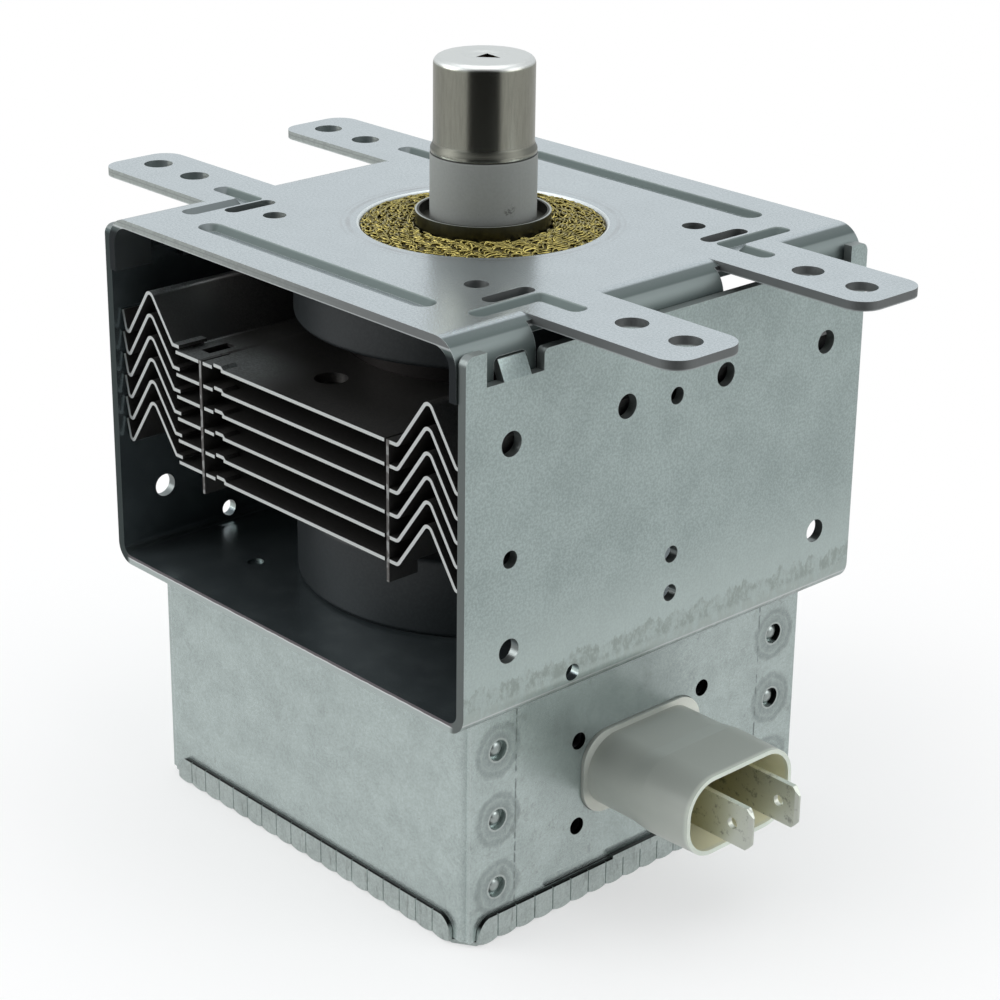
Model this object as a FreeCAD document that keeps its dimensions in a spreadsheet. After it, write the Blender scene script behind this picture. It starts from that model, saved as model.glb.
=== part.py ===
import FreeCAD, Part
import Sketcher
import math
import os
import re

# Magnetron tube of a microwave oven, in millimetres.
# The origin is on the antenna's axis at the top face of the mounting plate.
# +Z runs up the antenna, +X towards the plug, -Y out of the near open side of the yoke.

# Driving dimensions: name, value, what it measures.
DIMENSIONS = (
    ("plate_thick", 1.3, "sheet of the mounting plate"),
    ("plate_over", 0.3, "how far the plate reaches past the yoke's open ends"),
    ("plate_bend", 3.4, "bend radius of the plate's flanges, at mid sheet"),
    ("flange_depth", 8.2, "plate top to the flange's lower edge"),
    ("window_near", 26.6, "flange window's near side, from the middle"),
    ("window_far", 32.3, "flange window's far side, from the middle"),
    ("window_roof", 3.45, "plate top to the roof of the flange window"),
    ("window_corner", 1.0, "corner radius of the flange window"),
    ("ear_reach", 60.8, "ear tip from the axis"),
    ("ear_half_width", 6.55, "half width of an ear"),
    ("ear_row", 17.5, "ear's middle line from the axis"),
    ("ear_corner", 3.4, "corner radius at the ear tips"),
    ("relief_depth", 35.5, "root of the relief slits beside the ears"),
    ("relief_width", 1.0, "width of those slits"),
    ("hole_row", 16.8, "mounting holes from the X axis"),
    ("inner_hole", 46.2, "inner mounting holes from the Y axis"),
    ("outer_hole", 55.5, "outer mounting holes from the Y axis"),
    ("ear_hole", 4.4, "mounting hole diameter"),
    ("pilot_x", 21.5, "pilot holes along X"),
    ("pilot_y", 20.8, "pilot holes along Y"),
    ("pilot_hole", 3.4, "pilot hole diameter"),
    ("slot_x", 27.5, "through slots along X"),
    ("slot_near", 17.6, "slot's near end centre along Y"),
    ("slot_far", 23.6, "slot's far end centre along Y"),
    ("slot_half_width", 1.3, "half width of a through slot"),
    ("rib_gap", 1.74, "clearance between the magnet's edge and a long rib's swelling"),
    ("rib_reach", 22.6, "end centre of a long rib"),
    ("rib_half_width", 1.9, "half width of a long rib"),
    ("elbow_x", 30.7, "elbow ribs: the leg along Y"),
    ("elbow_far", 30.0, "elbow ribs: end of that leg"),
    ("elbow_row", 18.0, "elbow ribs: the leg along the ear"),
    ("elbow_reach", 38.7, "elbow ribs: end of the ear's leg"),
    ("elbow_half_width", 1.5, "half width of an elbow rib"),
    ("rib_depth", 1.0, "how far the ribs are pressed down"),
    ("rib_slope", 40, "slope of the ribs' sides, in degrees from upright"),
    ("rib_swell", 0.36, "how much wider a rib is under the sheet"),
    ("elbow_outer", 1.2, "outer corner radius of the elbow ribs"),
    ("elbow_inner", 0.6, "inner corner radius of the elbow ribs"),
    ("elbow_end", 1.3, "corner radius at the elbow ribs' ends"),
    ("collar_bore", 17.6, "radius of the gasket's hole in the plate"),
    ("collar_round", 0.6, "rounded lip of that hole"),
    ("fit_gap", 0.1, "clearance of pieces that slide together"),
    ("yoke_thick", 1.4, "sheet of the yoke"),
    ("yoke_half_width", 38.9, "yoke's outer half width along X"),
    ("yoke_half_length", 38.3, "yoke's half length along Y"),
    ("yoke_depth", 54.4, "plate top to the yoke's outer bottom"),
    ("yoke_bend", 2.3, "bend radius of the yoke, at mid sheet"),
    ("yoke_rim", 3.5, "plate top to the yoke walls' upper edge"),
    ("horn_root", 34.8, "inner edge of the yoke's corner horns"),
    ("horn_top", 1.8, "plate top to the horns' tips"),
    ("horn_round", 1.4, "rounded outer corner of a horn"),
    ("tongue_near", 27.1, "locking tongue's near edge"),
    ("tongue_far", 31.8, "locking tongue's far edge"),
    ("tongue_top", 3.7, "plate top to the tongue's tip"),
    ("tongue_lean", 1.3, "how far the tongue is pressed in at its tip"),
    ("notch_near", 24.9, "inner notch's near edge"),
    ("notch_floor", 6.4, "plate top to the floor of the notches"),
    ("notch_round", 0.8, "rounded corner between the rim and the inner notch"),
    ("screw_far", 30.4, "outer screw holes of the yoke along Y"),
    ("screw_mid", 9.55, "inner screw holes of the yoke along Y"),
    ("screw_top", 15.0, "upper screw holes below the plate's top"),
    ("screw_low", 44.05, "lower screw holes below the plate's top"),
    ("screw_hole", 3.5, "screw hole diameter"),
    ("gauge_hole", 2.5, "gauge hole diameter"),
    ("gauge_top", 15.8, "middle gauge holes below the plate's top: the upper one"),
    ("gauge_mid", 39.0, "the second"),
    ("gauge_low", 44.8, "the third"),
    ("gauge_side", 31.0, "gauge hole between the near screw holes, below the plate's top"),
    ("gauge_foot_y", 18.55, "gauge hole at the wall's foot, towards the near end"),
    ("gauge_foot", 51.0, "that hole below the plate's top"),
    ("stem_hole", 16.0, "hole in the yoke's floor for the stem"),
    ("dimple_x", 21.9, "dimple in the yoke's floor, away from the plug"),
    ("dimple_y", 25.5, "that dimple towards the near end"),
    ("dimple_radius", 1.25, "radius of that dimple"),
    ("dimple_depth", 0.4, "depth of that dimple"),
    ("magnet_radius", 27.2, "ring magnets' outer radius"),
    ("magnet_bore", 10.6, "ring magnets' bore radius"),
    ("magnet_round", 0.8, "broken edge of the magnets"),
    ("upper_magnet_thick", 11.9, "upper magnet's thickness"),
    ("lower_magnet_thick", 11.6, "lower magnet's thickness"),
    ("shell_thick", 0.6, "metal of the seal cups"),
    ("pole_thick", 1.4, "rim of the pole pieces"),
    ("pole_dish", 4.2, "how deep the pole pieces are dished"),
    ("pole_knee", 11.5, "radius where a pole piece's rim starts to dish"),
    ("pole_waist", 7.0, "radius where the dish meets the eye's flat"),
    ("pole_draw", 0.8, "how much narrower the dish is on its hollow side"),
    ("pole_eye", 4.7, "radius of the hole in the pole pieces"),
    ("anode_radius", 20.0, "anode's outer radius"),
    ("anode_wall", 2.2, "anode's wall"),
    ("vane_pairs", 5, "pairs of vanes"),
    ("vane_thick", 1.9, "vane thickness"),
    ("vane_height", 9.4, "vane height"),
    ("vane_tip", 4.5, "vane tips from the axis"),
    ("strap_height", 1.0, "strap ring height"),
    ("strap_width", 0.8, "strap ring width"),
    ("strap_inner", 6.8, "inner strap's inner radius"),
    ("strap_outer", 8.4, "outer strap's inner radius"),
    ("strap_slack", 0.5, "relief that keeps a strap off every other vane"),
    ("strap_room", 0.2, "room beside the straps in the vanes' grooves"),
    ("cup_radius", 9.75, "output seal cup's outer radius"),
    ("cup_rim", 1.8, "cup's rim above the plate's top"),
    ("cup_floor", 0.3, "cup's floor above the plate's top"),
    ("ceramic_radius", 7.65, "output ceramic's radius"),
    ("ceramic_bore", 5.6, "output ceramic's bore radius"),
    ("ceramic_top", 10.3, "output ceramic's top above the plate"),
    ("ceramic_round", 0.3, "broken edges of the output ceramic"),
    ("cap_radius", 7.2, "antenna cap's radius"),
    ("cap_top", 23.9, "antenna cap's top above the plate"),
    ("cap_wall", 0.5, "antenna cap's wall"),
    ("cap_round", 1.1, "rounded shoulder of the cap"),
    ("cap_lip", 7.6, "radius of the cap's flared lip"),
    ("cap_lip_height", 1.0, "height of that lip"),
    ("cap_lip_slope", 0.3, "height over which the lip draws in to the cap"),
    ("cap_dimple", 2.9, "radius of the recess in the cap's top"),
    ("cap_dimple_depth", 0.4, "depth of that recess"),
    ("cap_vent", 2.3, "side of the three-cornered vent in the cap"),
    ("gasket_top", 0.5, "gasket's crown above the plate's top"),
    ("gasket_inner_top", 0.3, "gasket's height at the cup"),
    ("gasket_edge", 0.2, "gasket's outer rim below the plate's top"),
    ("gasket_crown", 6.0, "radius of the gasket's crown"),
    ("fin_thick", 0.5, "fin sheet"),
    ("fin_back", 1.35, "how far the fins stand back from the yoke's open ends"),
    ("fin_first", 17.8, "first fin below the plate's top"),
    ("fin_pitch", 3.38, "fin spacing"),
    ("fin_foot", 2.9, "where a fin starts to rise, in from the magnets' edge"),
    ("crest_gap", 3.1, "crest of a fin, out from the magnets' edge"),
    ("fin_rise", 8.0, "crest above the flat"),
    ("fin_valley", 1.3, "valley of a fin, in from the wall"),
    ("fin_drop", 0.6, "valley below the flat"),
    ("fin_tab", 3.2, "wall tab's tip above the flat"),
    ("fin_bend", 0.9, "bend radius of the fins, at mid sheet"),
    ("fin_low_bend", 0.54, "bend radius at the valley"),
    ("fin_collar", 2.3, "height of a fin's drawn collar"),
    ("fin_bore_gap", 0.05, "collar's clearance on the anode"),
    ("lug_left", 5.8, "left spacer lug, in from the fin's foot"),
    ("lug_right", 2.0, "right spacer lug, in from the fin's foot"),
    ("lug_depth", 5.0, "spacer lug's length along Y"),
    ("slit_width", 0.4, "slit beside a spacer lug"),
    ("hump_start", 9.0, "raised tab between the lug and the main flat, in from the left foot"),
    ("hump_length", 2.2, "length of that tab along X"),
    ("hump_depth", 2.5, "length of that tab along Y"),
    ("hump_rise", 0.45, "how far it stands above the flat"),
    ("hook_rise", 0.95, "left foot's sheared hook above the flat"),
    ("hook_reach", 0.8, "how far the hook turns in past the foot"),
    ("eye_x", 0.7, "drawn hole of the fin's near side, away from the plug"),
    ("eye_y", 27.6, "drawn hole from the X axis"),
    ("eye_radius", 2.4, "drawn hole's radius"),
    ("eye_collar", 1.2, "height of the drawn hole's collar"),
    ("lance_near", 2.2, "lanced slot, in from the left foot"),
    ("lance_width", 2.0, "width of the lanced slot"),
    ("lance_front", 2.9, "lanced slot behind the fin's edge"),
    ("lance_length", 4.6, "length of the lanced slot"),
    ("box_half_x", 34.4, "filter box's outer half width along X"),
    ("box_half_y", 33.4, "filter box's outer half width along Y"),
    ("box_thick", 0.8, "sheet of the filter box"),
    ("box_drop", 35.3, "box top to the lower edge of its walls"),
    ("box_round", 0.8, "rounded upright corners of the box"),
    ("panel_inset", 0.5, "plug panel's side edges inside the box's corners"),
    ("lap_edge", 24.5, "inner edge of the laps behind the plug panel"),
    ("clinch_row", 27.8, "clinch points along Y"),
    ("clinch_top", 7.0, "upper clinch point below the box's top"),
    ("clinch_pitch", 10.6, "clinch spacing"),
    ("clinch_radius", 1.55, "clinch recess radius"),
    ("clinch_depth", 1.1, "clinch recess depth"),
    ("clinch_wall", 0.6, "metal round a clinch point"),
    ("clinch_button", 1.1, "radius of the button in a clinch"),
    ("clinch_button_height", 0.4, "height of that button"),
    ("clinch_button_slope", 35, "slope of that button's side, in degrees"),
    ("corner_relief", 0.9, "relief at the top of the box's corners"),
    ("groove_level", 31.1, "pressed groove of the plug panel below the box's top"),
    ("groove_reach", 18.2, "end centre of that groove"),
    ("groove_half_height", 0.8, "half height of that groove"),
    ("groove_depth", 0.3, "depth of that groove"),
    ("lid_thick", 0.6, "sheet of the box's lid"),
    ("lid_depth", 36.1, "box top to the lid's outer face"),
    ("skirt_height", 4.1, "height of the lid's skirt"),
    ("skirt_end", 31.6, "end of a skirt flap from the middle"),
    ("skirt_round", 2.5, "rounded upper corners of a skirt flap"),
    ("pleat_pitch", 3.51, "spacing of the skirt's pleats"),
    ("pleat_notch", 0.35, "notch between the pleats' rounded feet"),
    ("pleat_slope", 20, "slope of the pleats' sides, in degrees"),
    ("step_reach", 5.6, "half length of the raised step of the plug side's skirt"),
    ("step_rise", 0.4, "height of that step"),
    ("plug_depth", 17.1, "plug axis below the box's top"),
    ("plug_base_y", 11.1, "plug housing's half width at its base"),
    ("plug_base_z", 5.6, "plug housing's half height at its base"),
    ("plug_base_corner", 5.55, "plug housing's corner radius at its base"),
    ("plug_waist", 42.2, "where the housing starts to widen, from the axis"),
    ("plug_shoulder", 45.2, "where it is at its widest"),
    ("plug_shoulder_y", 10.9, "plug housing's half width there"),
    ("plug_shoulder_z", 6.05, "plug housing's half height there"),
    ("plug_mouth_y", 10.6, "plug housing's half width at its mouth"),
    ("plug_mouth_z", 6.0, "plug housing's half height at its mouth"),
    ("plug_corner", 5.2, "plug housing's corner radius from the shoulder on"),
    ("plug_wall", 0.65, "plug housing's wall"),
    ("plug_floor", 3.0, "plug's floor in front of the panel"),
    ("plug_reach", 53.6, "plug mouth from the axis"),
    ("plug_flange_y", 11.8, "half width of the plug's flange"),
    ("plug_flange_z", 6.4, "half height of the plug's flange"),
    ("plug_flange_corner", 4.6, "corner radius of the plug's flange"),
    ("plug_flange_proud", 0.5, "how far that flange stands out of the panel"),
    ("blade_row", 4.7, "blade terminals from the middle"),
    ("blade_width", 6.35, "blade width"),
    ("blade_thick", 0.8, "blade thickness"),
    ("blade_tip", 60.3, "blade tip from the axis"),
    ("blade_chamfer", 1.15, "height of the chamfers at the blade tip"),
    ("blade_shoulder", 1.0, "length of those chamfers"),
    ("blade_bevel", 0.25, "bevel of the blade's faces at its tip"),
    ("blade_bevel_length", 0.6, "length of that bevel"),
    ("blade_hole", 1.7, "blade's latch hole diameter"),
    ("blade_hole_back", 3.45, "latch hole from the blade tip"),
    ("rivet_y", 12.5, "capacitor's fixing holes along Y"),
    ("rivet_z", 6.75, "capacitor's fixing holes along Z, from their middle"),
    ("rivet_drop", 0.55, "their middle below the plug's axis"),
    ("rivet_hole", 2.6, "fixing hole diameter"),
    ("capacitor_depth", 12.0, "capacitor's body inside the box"),
    ("capacitor_half_y", 16.5, "capacitor plate's half width"),
    ("capacitor_half_z", 9.4, "capacitor plate's half height"),
    ("capacitor_corner", 2.0, "corner radius of that plate"),
    ("capacitor_plate", 0.8, "sheet of that plate"),
    ("case_half_y", 9.1, "half width of the capacitor's case"),
    ("case_half_z", 3.9, "half height of that case"),
    ("case_corner", 3.0, "corner radius of that case"),
    ("blade_root", 3.0, "blade standing out behind the capacitor"),
    ("antenna_rod", 1.1, "antenna rod's radius"),
    ("antenna_foot", 2.2, "antenna's foot above the upper pole piece's dish"),
    ("tube_radius", 2.0, "exhaust tube's outer radius"),
    ("tube_height", 6.0, "round part of the exhaust tube"),
    ("pinch_height", 3.0, "pinched part of the exhaust tube"),
    ("pinch_half_width", 2.6, "half width of the pinched end"),
    ("pinch_thick", 1.2, "thickness of the pinched end"),
    ("tube_seat", 0.5, "disc that carries the exhaust tube on the ceramic"),
    ("hat_radius", 3.7, "radius of the cathode's end hats"),
    ("hat_thick", 0.9, "thickness of an end hat"),
    ("hat_rim", 0.55, "straight rim of the upper end hat"),
    ("lead_radius", 0.7, "cathode leads' radius"),
    ("side_lead_x", 2.9, "side lead from the axis"),
    ("filament_inner", 1.7, "filament's inner radius"),
    ("filament_wire", 0.5, "filament wire"),
    ("filament_pitch", 1.45, "filament pitch"),
    ("filament_clear", 0.3, "filament's end from the end hats"),
    ("stem_radius", 7.4, "stem ceramic's radius"),
    ("stem_top", 2.0, "stem ceramic's top below the box's top"),
    ("stem_drop", 12.5, "stem ceramic's foot below the box's top"),
    ("terminal_thick", 0.5, "terminal strips under the stem"),
    ("terminal_half_width", 1.4, "half width of a terminal strip"),
    ("terminal_reach", 7.2, "end of a terminal strip from the middle"),
    ("terminal_back", 1.05, "terminal strip past its lead"),
    ("choke_radius", 3.1, "choke coil's mean radius"),
    ("choke_wire", 1.3, "choke wire's width"),
    ("choke_wire_rise", 0.585, "half the height of the choke wire's six-sided section"),
    ("choke_turns", 7, "turns of a choke"),
    ("choke_pitch", 3.2, "pitch of a choke"),
    ("choke_start", -15.2, "first turn of a choke along X"),
    ("choke_drop", 25.0, "choke axis below the box's top"),
    ("choke_bend", 1.6, "bend radius of the choke's leads"),
    ("choke_lead", 2.5, "choke's stem lead out beyond its first turn"),
    ("core_radius", 2.2, "ferrite rod radius"),
    ("core_proud", 1.0, "ferrite rod out beyond the turns at each end"),
)
NAMES = {row[0] for row in DIMENSIONS}

document = FreeCAD.newDocument("Magnetron")
sizes = document.addObject("Spreadsheet::Sheet", "Sizes")
for row, (name, value, note) in enumerate(DIMENSIONS, start=1):
    sizes.set(f"A{row}", name)
    sizes.set(f"B{row}", str(value))
    sizes.setAlias(f"B{row}", name)
    sizes.set(f"C{row}", note)
document.recompute()
gauge = document.addObject("App::FeaturePython", "Gauge")


def bound(text):
    """Write an expression of dimension names in the sheet's terms."""
    def prefixed(word):
        return "Sizes." + word.group() if word.group() in NAMES else word.group()
    return re.sub(r"[A-Za-z_]\w*", prefixed, str(text))


def size(text):
    """Give the value of an expression of dimension names."""
    return float(gauge.evalExpression(bound(text)))


# Depths below the plate's top and places that several pieces share
UPPER_FACE = "(plate_thick + upper_magnet_thick)"
LOWER_FACE = "(yoke_depth - yoke_thick - lower_magnet_thick)"
ANODE_TOP = f"({UPPER_FACE} + shell_thick + pole_thick)"
ANODE_BOTTOM = f"({LOWER_FACE} - shell_thick - pole_thick)"
ANODE_MIDDLE = f"(({ANODE_TOP} + {ANODE_BOTTOM}) / 2)"
WALL_INSIDE = "(yoke_half_width - yoke_thick)"
PLATE_END = "(yoke_half_length + plate_over)"
FIN_END = "(yoke_half_length - fin_back)"
PLUG_LEVEL = "(yoke_depth + plug_depth)"
STEM_FOOT = "(yoke_depth + stem_drop)"
CHOKE_LEVEL = "(yoke_depth + choke_drop)"
CHOKE_ROW = "(blade_row + blade_thick / 2 + choke_wire_rise)"
BLADE_BACK = "(box_half_x - box_thick - capacitor_plate - capacitor_depth - blade_root)"

# How far a cutting sketch starts outside the metal, and how far two sketches of one piece share metal
BEYOND = "1"
SHARED = "0.01"


def make_body(name, level=None):
    """Start a sub-part, set down by the level given for its own origin."""
    body = document.addObject("PartDesign::Body", name)
    body.Label = name
    if level is not None:
        body.setExpression("Placement.Base.z", bound(level))
    return body


def origin_plane(body, role):
    """Find one of a body's own origin planes by its role."""
    return next(item for item in body.Origin.OriginFeatures if item.Role == role)


def make_sketch(body, name, role, lift="0"):
    """Place an empty sketch on an origin plane, lifted along the plane's normal."""
    sketch = body.newObject("Sketcher::SketchObject", name)
    sketch.AttachmentSupport = [(origin_plane(body, role), "")]
    sketch.MapMode = "FlatFace"
    sketch.setExpression("AttachmentOffset.Base.z", bound(lift))
    return sketch


def rule(kind, where, text=None):
    """Describe one constraint, with the expression that drives it where it has one."""
    if text is None:
        return Sketcher.Constraint(kind, *where), None
    driven = any(word in NAMES for word in re.findall(r"\w+", str(text)))
    return Sketcher.Constraint(kind, *where, size(text)), bound(text) if driven else None


def hold(where, point):
    """Describe the two constraints that hold a point at the given coordinates."""
    return [rule("DistanceX", (-1, 1) + where, point[0]), rule("DistanceY", (-1, 1) + where, point[1])]


def apply_rules(sketch, rules):
    """Add the constraints to the sketch together and bind them to the sheet."""
    indices = sketch.addConstraint([constraint for constraint, text in rules])
    for index, (constraint, text) in zip(indices, rules):
        if text is not None:
            sketch.setExpression(f"Constraints[{index}]", text)


def draw_outline(sketch, corners, closed=True):
    """Draw straight runs through the corners, with an arc where a corner has a radius.

    A corner is (x, y) or (x, y, radius), each an expression of dimension names.
    """
    spots = [FreeCAD.Vector(size(corner[0]), size(corner[1]), 0) for corner in corners]
    count = len(corners)
    leave, arrive, arcs = list(spots), list(spots), {}
    for i, corner in enumerate(corners):
        if len(corner) < 3:
            continue
        back = (spots[i - 1] - spots[i]).normalize()
        ahead = (spots[(i + 1) % count] - spots[i]).normalize()
        half = back.getAngle(ahead) / 2
        radius = size(corner[2])
        arrive[i] = spots[i] + back * (radius / math.tan(half))
        leave[i] = spots[i] + ahead * (radius / math.tan(half))
        centre = spots[i] + (back + ahead).normalize() * (radius / math.sin(half))
        left_turn = back.cross(ahead).z < 0
        first, last = (arrive[i], leave[i]) if left_turn else (leave[i], arrive[i])
        circle = Part.Circle(centre, FreeCAD.Vector(0, 0, 1), radius)
        arc = Part.ArcOfCircle(circle, circle.parameter(first), circle.parameter(last))
        arcs[i] = (sketch.addGeometry(arc, False), 1 if left_turn else 2)
    lines = []
    for i in range(count if closed else count - 1):
        run = Part.LineSegment(leave[i], arrive[(i + 1) % count])
        lines.append(sketch.addGeometry(run, False))
    rules = []
    for i, corner in enumerate(corners):
        if not closed and i == count - 1:
            rules += hold((lines[-1], 2), corner)
        elif not closed and i == 0:
            rules += hold((lines[0], 1), corner)
        elif i in arcs:
            arc, entry = arcs[i]
            knot = sketch.addGeometry(Part.Point(spots[i]), True)
            rules += hold((knot, 1), corner)
            rules.append(rule("PointOnObject", (knot, 1, lines[i - 1])))
            rules.append(rule("PointOnObject", (knot, 1, lines[i])))
            rules.append(rule("Tangent", (lines[i - 1], 2, arc, entry)))
            rules.append(rule("Tangent", (arc, 3 - entry, lines[i], 1)))
            rules.append(rule("Radius", (arc,), corner[2]))
        else:
            rules.append(rule("Coincident", (lines[i - 1], 2, lines[i], 1)))
            rules += hold((lines[i], 1), corner)
    apply_rules(sketch, rules)


def draw_box(sketch, left, right, low, high):
    """Draw a rectangle between four bounds."""
    draw_outline(sketch, [(left, low), (right, low), (right, high), (left, high)])


def draw_circle(sketch, x, y, radius):
    """Draw a circle about a point."""
    circle = Part.Circle(FreeCAD.Vector(size(x), size(y), 0), FreeCAD.Vector(0, 0, 1), size(radius))
    index = sketch.addGeometry(circle, False)
    apply_rules(sketch, hold((index, 3), (x, y)) + [rule("Radius", (index,), radius)])


def draw_slot(sketch, first, last, radius):
    """Draw a slot with round ends between two centres on one grid line."""
    start = FreeCAD.Vector(size(first[0]), size(first[1]), 0)
    end = FreeCAD.Vector(size(last[0]), size(last[1]), 0)
    along = (end - start).normalize()
    side = FreeCAD.Vector(-along.y, along.x, 0) * size(radius)
    caps = []
    for centre, one, other in ((start, start + side, start - side), (end, end - side, end + side)):
        circle = Part.Circle(centre, FreeCAD.Vector(0, 0, 1), size(radius))
        arc = Part.ArcOfCircle(circle, circle.parameter(one), circle.parameter(other))
        caps.append(sketch.addGeometry(arc, False))
    low = sketch.addGeometry(Part.LineSegment(start - side, end - side), False)
    high = sketch.addGeometry(Part.LineSegment(end + side, start + side), False)
    joins = ((caps[0], 2, low, 1), (low, 2, caps[1], 1), (caps[1], 2, high, 1), (high, 2, caps[0], 1))
    rules = [rule("Tangent", join) for join in joins] + [rule("Radius", (caps[0],), radius)]
    apply_rules(sketch, rules + hold((caps[0], 3), first) + hold((caps[1], 3), last))


def pad(body, sketch, length, middle=False, reverse=False, taper="0"):
    """Raise a sketch into the body, drawing its sides in by the taper."""
    feature = body.newObject("PartDesign::Pad", sketch.Name + "Pad")
    feature.Profile = sketch
    feature.Midplane = middle
    feature.Reversed = reverse
    feature.setExpression("Length", bound(length))
    if taper != "0":
        feature.setExpression("TaperAngle", bound(f"-{taper}"))
    return feature


def cut(body, sketch, length=None, middle=False, reverse=False, taper="0"):
    """Cut a sketch out of the body, right through where no length is given, drawing in by the taper."""
    feature = body.newObject("PartDesign::Pocket", sketch.Name + "Cut")
    feature.Profile = sketch
    feature.Midplane = middle
    feature.Reversed = reverse
    if length is None:
        feature.Type = "ThroughAll"
    else:
        feature.setExpression("Length", bound(length))
    if taper != "0":
        feature.setExpression("TaperAngle", bound(f"-{taper}"))
    return feature


def revolve(body, sketch):
    """Turn a sketch about the body's own Z axis."""
    feature = body.newObject("PartDesign::Revolution", sketch.Name + "Turn")
    feature.Profile = sketch
    feature.ReferenceAxis = (sketch, ["V_Axis"])
    feature.Angle = 360
    return feature


def turned(name, corners, level=None):
    """Make a piece turned about the axis from its half section in X and Z."""
    body = make_body(name, level)
    section = make_sketch(body, name + "Section", "XZ_Plane")
    draw_outline(section, corners)
    revolve(body, section)
    return body


def sweep(body, path, profile):
    """Carry a profile along a path."""
    feature = body.newObject("PartDesign::AdditivePipe", path.Name + "Sweep")
    feature.Profile = profile
    feature.Spine = (path, [])
    feature.Transition = "Right corner"
    return feature


def mirror(body, feature, role):
    """Repeat features on the other side of an origin plane."""
    copy = body.newObject("PartDesign::Mirrored", f"Mirror{len(document.Objects)}")
    copy.Originals = feature if isinstance(feature, list) else [feature]
    copy.MirrorPlane = (origin_plane(body, role), [""])
    body.Tip = copy
    return copy


def round_edges(body, radius, chosen, chamfer=False):
    """Round or break the edges of the body's present shape that the test picks."""
    document.recompute()
    base = body.Tip
    names = [f"Edge{i}" for i, edge in enumerate(base.Shape.Edges, start=1) if chosen(edge)]
    kind = "PartDesign::Chamfer" if chamfer else "PartDesign::Fillet"
    feature = body.newObject(kind, f"Round{len(document.Objects)}")
    feature.Base = (base, names)
    feature.setExpression("Size" if chamfer else "Radius", bound(radius))
    body.Tip = feature
    return feature


def ordered(first, second):
    """Put two expressions in the order of their values."""
    return sorted((first, second), key=size)


def near(value, text):
    """Say whether a coordinate lies at the expression's value."""
    return abs(value - size(text)) < 1e-4


# Mounting plate: one bent sheet with flanges, ears, ribs and the gasket's rounded hole
def make_top_plate():
    body = make_body("top_plate")
    middle = "-plate_thick / 2"
    flange = f"({WALL_INSIDE} - fit_gap - plate_thick / 2)"
    path = make_sketch(body, "PlatePath", "XZ_Plane")
    turn = (flange, middle, "plate_bend")
    draw_outline(path, [("0", middle), turn, (flange, "-flange_depth")], closed=False)
    strip = make_sketch(body, "PlateStrip", "YZ_Plane")
    draw_box(strip, f"-{PLATE_END}", PLATE_END, "-plate_thick", "0")
    mirror(body, sweep(body, path, strip), "YZ_Plane")

    slits = make_sketch(body, "EarRoom", "XY_Plane")
    ears = make_sketch(body, "Ears", "XY_Plane")
    flat_end = f"({flange} - plate_bend - plate_thick)"
    for side in (1, -1):
        for row in (1, -1):
            low, high = f"{row} * ear_row - ear_half_width", f"{row} * ear_row + ear_half_width"
            ends = ordered(f"{side} * relief_depth", f"{side} * (yoke_half_width + {BEYOND})")
            draw_box(slits, ends[0], ends[1], f"{low} - relief_width", f"{high} + relief_width")
            root, tip = f"{side} * {flat_end}", f"{side} * ear_reach"
            corners = [(root, low), (tip, low, "ear_corner"), (tip, high, "ear_corner"), (root, high)]
            draw_outline(ears, corners)
    cut(body, slits, f"2 * (flange_depth + {BEYOND})", middle=True)
    pad(body, ears, "plate_thick", reverse=True)

    windows = make_sketch(body, "FlangeWindows", "YZ_Plane")
    for side in (1, -1):
        ends = ordered(f"{side} * window_near", f"{side} * window_far")
        roof, floor = "-window_roof", f"-flange_depth - {BEYOND}"
        draw_outline(windows, [
            (ends[0], floor), (ends[1], floor),
            (ends[1], roof, "window_corner"), (ends[0], roof, "window_corner"),
        ])
    cut(body, windows, "2 * yoke_half_width", middle=True)

    swells = make_sketch(body, "RibBacks", "XY_Plane", "-plate_thick")
    draw_ribs(swells, "rib_swell")
    pad(body, swells, "rib_depth", reverse=True, taper="rib_slope")
    grooves = make_sketch(body, "Ribs", "XY_Plane")
    draw_ribs(grooves, "0")
    cut(body, grooves, "rib_depth", taper="rib_slope")

    holes = make_sketch(body, "PlateHoles", "XY_Plane")
    for side in (1, -1):
        for row in (1, -1):
            draw_circle(holes, f"{side} * inner_hole", f"{row} * hole_row", "ear_hole / 2")
            draw_circle(holes, f"{side} * outer_hole", f"{row} * hole_row", "ear_hole / 2")
            draw_circle(holes, f"{side} * pilot_x", f"{row} * pilot_y", "pilot_hole / 2")
            line = f"{side} * slot_x"
            draw_slot(holes, (line, f"{row} * slot_near"), (line, f"{row} * slot_far"), "slot_half_width")
    draw_circle(holes, "0", "0", "collar_bore")
    cut(body, holes)

    def gasket_lip(edge):
        box = edge.BoundBox
        return near(box.XMax, "collar_bore") and near(box.ZMin, "0") and near(box.ZMax, "0")
    round_edges(body, "collar_round", gasket_lip)
    return body


def draw_ribs(sketch, swell):
    """Draw the plate's pressed ribs, each side wider by the swell."""
    wide = f"(elbow_half_width + {swell})"
    outer_round, end_round = f"elbow_outer + {swell}", f"elbow_end + {swell}"
    for row in (1, -1):
        line = f"{row} * (magnet_radius + rib_gap + rib_swell + rib_half_width)"
        draw_slot(sketch, ("-rib_reach", line), ("rib_reach", line), f"rib_half_width + {swell}")
        low, high = f"{row} * (elbow_row - {wide})", f"{row} * (elbow_row + {wide})"
        far = f"{row} * elbow_far"
        for side in (1, -1):
            inner, outer = f"{side} * (elbow_x - {wide})", f"{side} * (elbow_x + {wide})"
            reach = f"{side} * elbow_reach"
            draw_outline(sketch, [
                (inner, low, outer_round), (reach, low, end_round), (reach, high, end_round),
                (outer, high, "elbow_inner"), (outer, far, end_round), (inner, far, end_round),
            ])


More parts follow.
